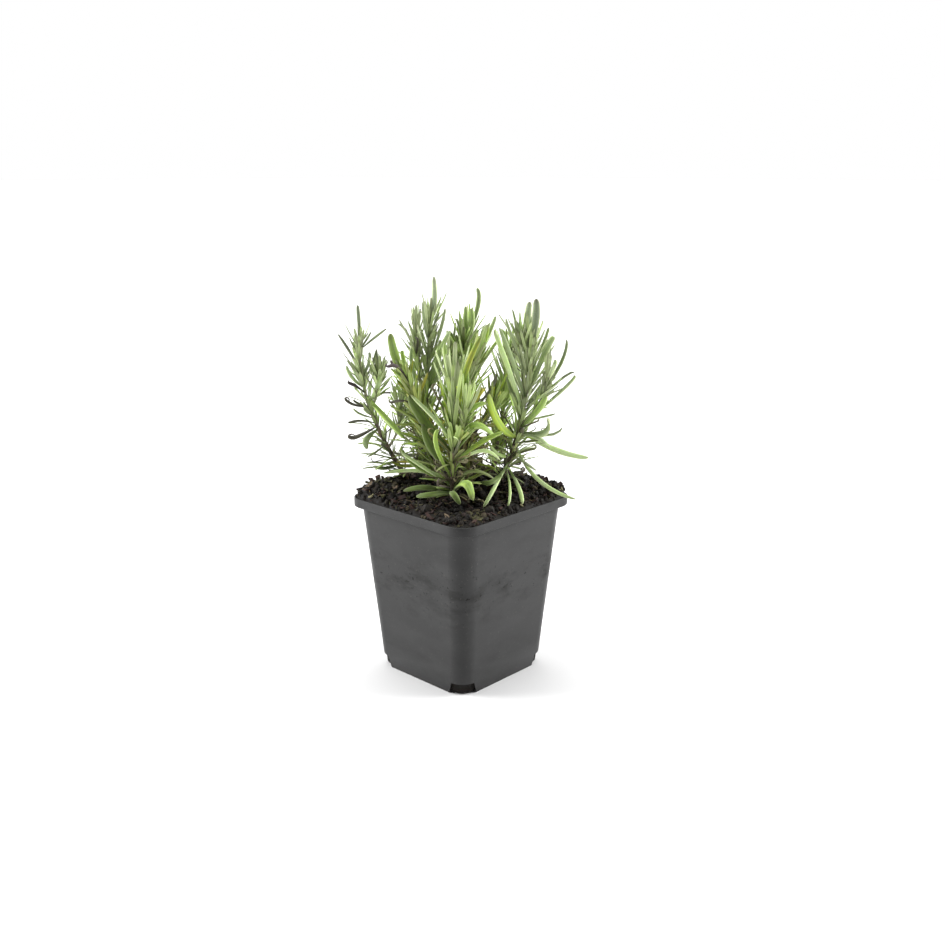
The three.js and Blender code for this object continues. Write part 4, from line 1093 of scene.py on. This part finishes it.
def blade_line(leaf, wave):
    """A blade's midline with its half widths and side directions; a withered one curls at its tip."""
    curled = leaf["wither"] > CURLED
    t = BLADE_STOPS if leaf["width"] > FINE_WIDTH or curled else BLADE_STOPS[::2]
    points = leaf["bend"].at(t)
    rounding = np.sqrt(np.clip(1 - ((t - TIP_FROM) / (1 - TIP_FROM)) ** 2, 0, 1))
    share = np.where(t < TIP_FROM, blade_width(t), blade_width(TIP_FROM) * rounding)
    half = leaf["width"] / 2 * share * mix(1, WITHERED_WIDTH, leaf["wither"]) * leaf["slim"]
    half[-1] = TIP_HALF
    along = np.array([leaf["bend"].along(v) for v in t])
    side = np.array([squared_to(leaf["side"], a) for a in along])
    sway = SWAY * leaf["length"] * (wave() - 0.5) * np.sin(math.pi * t * (1 + wave()))
    points = points + side * sway[:, None]
    if curled:
        k = CURL_STOP
        up = np.cross(along[k + 1], side[k + 1])
        lift = up if up[2] > 0 else -up
        reach = CURL_RADIUS * leaf["wither"] * drawn(wave, 0.6, 0.8)
        turn = CURL_TURN * drawn(wave, 0.4, 0.9)
        for i in range(k + 1, len(t)):
            a = math.radians(turn * (i - k) / (len(t) - k - 1))
            points[i] = points[k] + reach * (math.sin(a) * along[k] + (1 - math.cos(a)) * lift)
        half[k + 1 :] = np.maximum(half[k + 1 :], CURL_HALF)
    numbers = {key: np.full(len(t), leaf[key], float) for key in ("tone", "shade", "wither")}
    return dict(points=points, half_width=half * MM, side=side, along=t, **numbers)


WOOD_STOPS, KNOT_SWELLING, KNOT_REACH, SIDE_TONE = 64, 0.28, 0.012, 0.35
BURIED, BURIED_STOPS = np.array([(0, 0, -ROOT_DEPTH), (0, 0, -3), (0, 0, -1)]), [-0.2, -0.05, -0.01]


def wood_line(shoot):
    """A shoot's midline: thicker at each leaf pair, and straight down into the soil where it is rooted."""
    t = np.linspace(0, 1, WOOD_STOPS)
    points = shoot["bend"].at(t)
    radius = mix(shoot["radius"], STEM_TIP, t)
    for i in range(shoot["pairs"]):
        knot = mix(shoot["bare"], LAST_PAIR, i / max(1, shoot["pairs"] - 1))
        radius = radius * (1 + KNOT_SWELLING * np.exp(-(((t - knot) / KNOT_REACH) ** 2)))
    along = np.array([shoot["bend"].along(v) for v in t])
    if shoot["buried"]:
        points = np.concatenate([points[0] + BURIED, points])
        radius = np.concatenate([[shoot["radius"]] * 3, radius])
        along = np.concatenate([[(0, 0, 1.0)] * 3, along])
        t = np.concatenate([BURIED_STOPS, t])
    side = np.array([squared_to(np.array((1.0, 0, 0)), a) for a in along])
    tone = 1.0 if shoot["buried"] else SIDE_TONE
    numbers = {"tone": np.full(len(t), tone), "shade": np.ones(len(t)), "wither": np.zeros(len(t))}
    return dict(points=points, half_width=radius * MM, side=side, along=t, **numbers)


def swept_tree(name, finish, sides, section):
    """A section swept along each line, as wide as the line says, its first axis along the line's side."""
    tree, asked = geometry_tree(name, Thickness=0.2, Roll=0.2, Groove=0.08, Swelling=0.4)
    line = add(tree, "GeometryNodeMeshToCurve", {"Mesh": asked["Geometry"]}).outputs[0]
    steer = add(tree, "GeometryNodeSetCurveNormal", mode="FREE")
    tree.links.new(line, steer.inputs["Curve"])
    tree.links.new(carried(tree, "side", "FLOAT_VECTOR"), steer.inputs["Normal"])
    ring = add(tree, "GeometryNodeCurvePrimitiveCircle", {"Resolution": sides, "Radius": 1.0}).outputs[0]
    place = add(tree, "ShaderNodeSeparateXYZ", {0: add(tree, "GeometryNodeInputPosition").outputs[0]}).outputs
    for key, value in (("across", place["X"]), ("upper", place["Y"])):
        ring = stored(tree, ring, key, value, "POINT")
    shaped = section(tree, asked, place["X"], place["Y"])
    outline = add(tree, "GeometryNodeSetPosition", {"Geometry": ring, "Position": shaped}).outputs[0]
    half_width = carried(tree, "half_width")
    inputs = {"Curve": steer.outputs[0], "Profile Curve": outline, "Scale": half_width, "Fill Caps": True}
    sweep = add(tree, "GeometryNodeCurveToMesh", inputs).outputs[0]
    swelling = times(tree, half_width, carried(tree, "wither"), asked["Swelling"])
    outward = add(tree, "GeometryNodeInputNormal").outputs[0]
    push = add(tree, "ShaderNodeVectorMath", {0: outward, "Scale": swelling}, operation="SCALE").outputs[0]
    fuller = add(tree, "GeometryNodeSetPosition", {"Geometry": sweep, "Offset": push}).outputs[0]
    smooth = add(tree, "GeometryNodeSetShadeSmooth", {"Geometry": fuller}).outputs[0]
    real = add(tree, "GeometryNodeRealizeInstances", {"Geometry": smooth}).outputs[0]
    done = add(tree, "GeometryNodeSetMaterial", {"Geometry": real, "Material": finish}).outputs[0]
    add(tree, "NodeGroupOutput", {"Geometry": done})
    return tree


GROOVE_REACH = 0.36


def blade_section(tree, asked, x, y):
    """A thin blade with its margins rolled down and its midrib sunk above and raised below."""
    out = maths(tree, "ABSOLUTE", x)
    roll = times(tree, maths(tree, "POWER", out, 3.0), asked["Roll"])
    near = maths(tree, "SUBTRACT", 1.0, maths(tree, "DIVIDE", out, GROOVE_REACH), clamp=True)
    height = maths(tree, "SUBTRACT", times(tree, y, asked["Thickness"]), roll)
    height = maths(tree, "SUBTRACT", height, times(tree, near, asked["Groove"]))
    return add(tree, "ShaderNodeCombineXYZ", {"X": x, "Y": height}).outputs[0]


STEM_SQUARENESS, STEM_FLAT = 0.72, 0.86


def stem_section(tree, asked, x, y):
    """A square with round corners."""

    def squarer(v):
        size = maths(tree, "POWER", maths(tree, "ABSOLUTE", v), STEM_SQUARENESS)
        return times(tree, size, maths(tree, "SIGN", v), STEM_FLAT)

    return add(tree, "ShaderNodeCombineXYZ", {"X": squarer(x), "Y": squarer(y)}).outputs[0]


# The leaf's colours by tone, from silvery through fresh green to yellow, and those that are laid over them.
LEAF_TONES = (
    (0.0, (0.25, 0.3, 0.19)), (0.2, (0.29, 0.365, 0.185)), (0.38, (0.285, 0.39, 0.13)),
    (0.56, (0.26, 0.39, 0.075)), (0.74, (0.25, 0.37, 0.045)), (0.86, (0.31, 0.39, 0.045)),
    (1.0, (0.45, 0.42, 0.06)),
)
UNDERSIDE, MARGIN = (0.37, 0.42, 0.2, 1), (0.52, 0.56, 0.3, 1)
# The colour laid on the midrib is painted shade in its sunk groove.
MIDRIB_SHADE, DOWN = (0.12, 0.18, 0.06, 1), (0.44, 0.49, 0.34, 1)
SCORCHED, DEAD_DARK, DEAD_LIGHT = (0.13, 0.1, 0.085, 1), (0.05, 0.038, 0.038, 1), (0.16, 0.13, 0.055, 1)
MARGIN_FROM, MIDRIB_REACH, SCORCH_FROM = 0.66, 0.34, 0.84


def leaf_finish():
    """Downy leaf: silvery grey-green to yellow-green by its tone, paler below and at the margins, with
    painted shade.
    """
    made, tree, shader = finish_named("lavender_leaf")
    keys = ("tone", "shade", "along", "across", "upper", "wither")
    tone, shade, along, across, upper, wither = (painted(tree, key) for key in keys)
    mottle = patch_mask(tree, 160.0, 0.3, 0.7, detail=3.0)
    fine = patch_mask(tree, 1400.0, 0.35, 0.65, detail=2.0)
    tinted = maths(tree, "ADD", tone, maths(tree, "MULTIPLY_ADD", mottle, 0.24, -0.12))
    ramp = add(tree, "ShaderNodeValToRGB", {"Fac": maths(tree, "MULTIPLY_ADD", tinted, 0.7, 0.1)})
    stops = ramp.color_ramp.elements
    for position, colour in LEAF_TONES[1:-1]:
        stops.new(position).color = (*colour, 1)
    stops[0].color, stops[len(stops) - 1].color = (*LEAF_TONES[0][1], 1), (*LEAF_TONES[-1][1], 1)
    downy = maths(tree, "SUBTRACT", 1.1, tinted, clamp=True)
    below = times(tree, maths(tree, "LESS_THAN", upper, -0.2), 0.5)
    out = maths(tree, "ABSOLUTE", across)
    margin = times(tree, maths(tree, "SUBTRACT", out, MARGIN_FROM, clamp=True), 2.2, downy)
    # Painted shade along the sunk midrib.
    midrib = times(tree, maths(tree, "SUBTRACT", MIDRIB_REACH, out, clamp=True), 1.6)
    down = times(tree, fine, 0.2, downy)
    scorch = times(tree, maths(tree, "SUBTRACT", along, SCORCH_FROM, clamp=True), 4.5, mottle)
    dead = blend(tree, maths(tree, "MULTIPLY_ADD", tone, 2.0, -0.7), DEAD_DARK, DEAD_LIGHT)
    colour = ramp.outputs["Color"]
    layers = (below, UNDERSIDE), (margin, MARGIN), (midrib, MIDRIB_SHADE), (down, DOWN), (scorch, SCORCHED)
    for share, over in (*layers, (wither, dead)):
        colour = blend(tree, share, colour, over)
    # Painted shade: each leaf darker towards its foot inside the plant, and scaled by the leaf's own painted
    # shade.
    deep = maths(tree, "MULTIPLY_ADD", maths(tree, "MULTIPLY", along, 2.2, clamp=True), 0.38, 0.62)
    inputs = {0: colour, "Scale": times(tree, shade, deep)}
    colour = add(tree, "ShaderNodeVectorMath", inputs, operation="SCALE").outputs[0]
    rough = maths(tree, "MULTIPLY_ADD", fine, 0.2, 0.5)
    dress(tree, shader, colour, rough, 0.25, grain(tree, 5200.0), 0.25, 0.0001)
    shader.inputs["Sheen Weight"].default_value = 0.15
    shader.inputs["Sheen Roughness"].default_value = 0.4
    return made


GREEN_WOOD = (0.24, 0.28, 0.15, 1), (0.32, 0.31, 0.2, 1)
BROWN_WOOD = (0.075, 0.053, 0.042, 1), (0.21, 0.155, 0.12, 1)


def wood_finish():
    """Stem: brown woody foot with flaking bark, turning to grey-green with a purple cast further up."""
    made, tree, shader = finish_named("lavender_stem")
    flakes = patch_mask(tree, 700.0, 0.4, 0.6, stretch=(1, 1, 0.25))
    woody_to = times(tree, painted(tree, "tone"), 0.75)
    woody = maths(tree, "SUBTRACT", woody_to, painted(tree, "along"), clamp=True)
    woody = maths(tree, "MULTIPLY", woody, 2.6, clamp=True)
    colour = blend(tree, woody, blend(tree, flakes, *GREEN_WOOD), blend(tree, flakes, *BROWN_WOOD))
    rough = maths(tree, "MULTIPLY_ADD", flakes, 0.2, 0.6)
    dress(tree, shader, colour, rough, 0.5, flakes, 0.5, 0.0003)
    return made


SWEEP_SIDES = 12
blade_tree = swept_tree("leaf_blades", leaf_finish(), SWEEP_SIDES, blade_section)
stem_tree = swept_tree("square_stems", wood_finish(), SWEEP_SIDES, stem_section)
wave = draw_from(LEAF_SEED + 31)
for stem in STEMS:
    name = stem["name"]
    wood = strands(name + "_wood", [wood_line(shoot) for shoot in stem["shoots"]])
    blades = strands(name + "_leaves", [blade_line(leaf, wave) for leaf in stem["leaves"]])
    piece(name + "_wood", settle(name + "_wood", wood, stem_tree), name, slot="lavender")
    leafy = settle(name + "_leaves", blades, blade_tree, Thickness=0.3, Roll=0.42, Groove=0.26)
    piece(name + "_leaves", leafy, name, slot="lavender")


low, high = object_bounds()
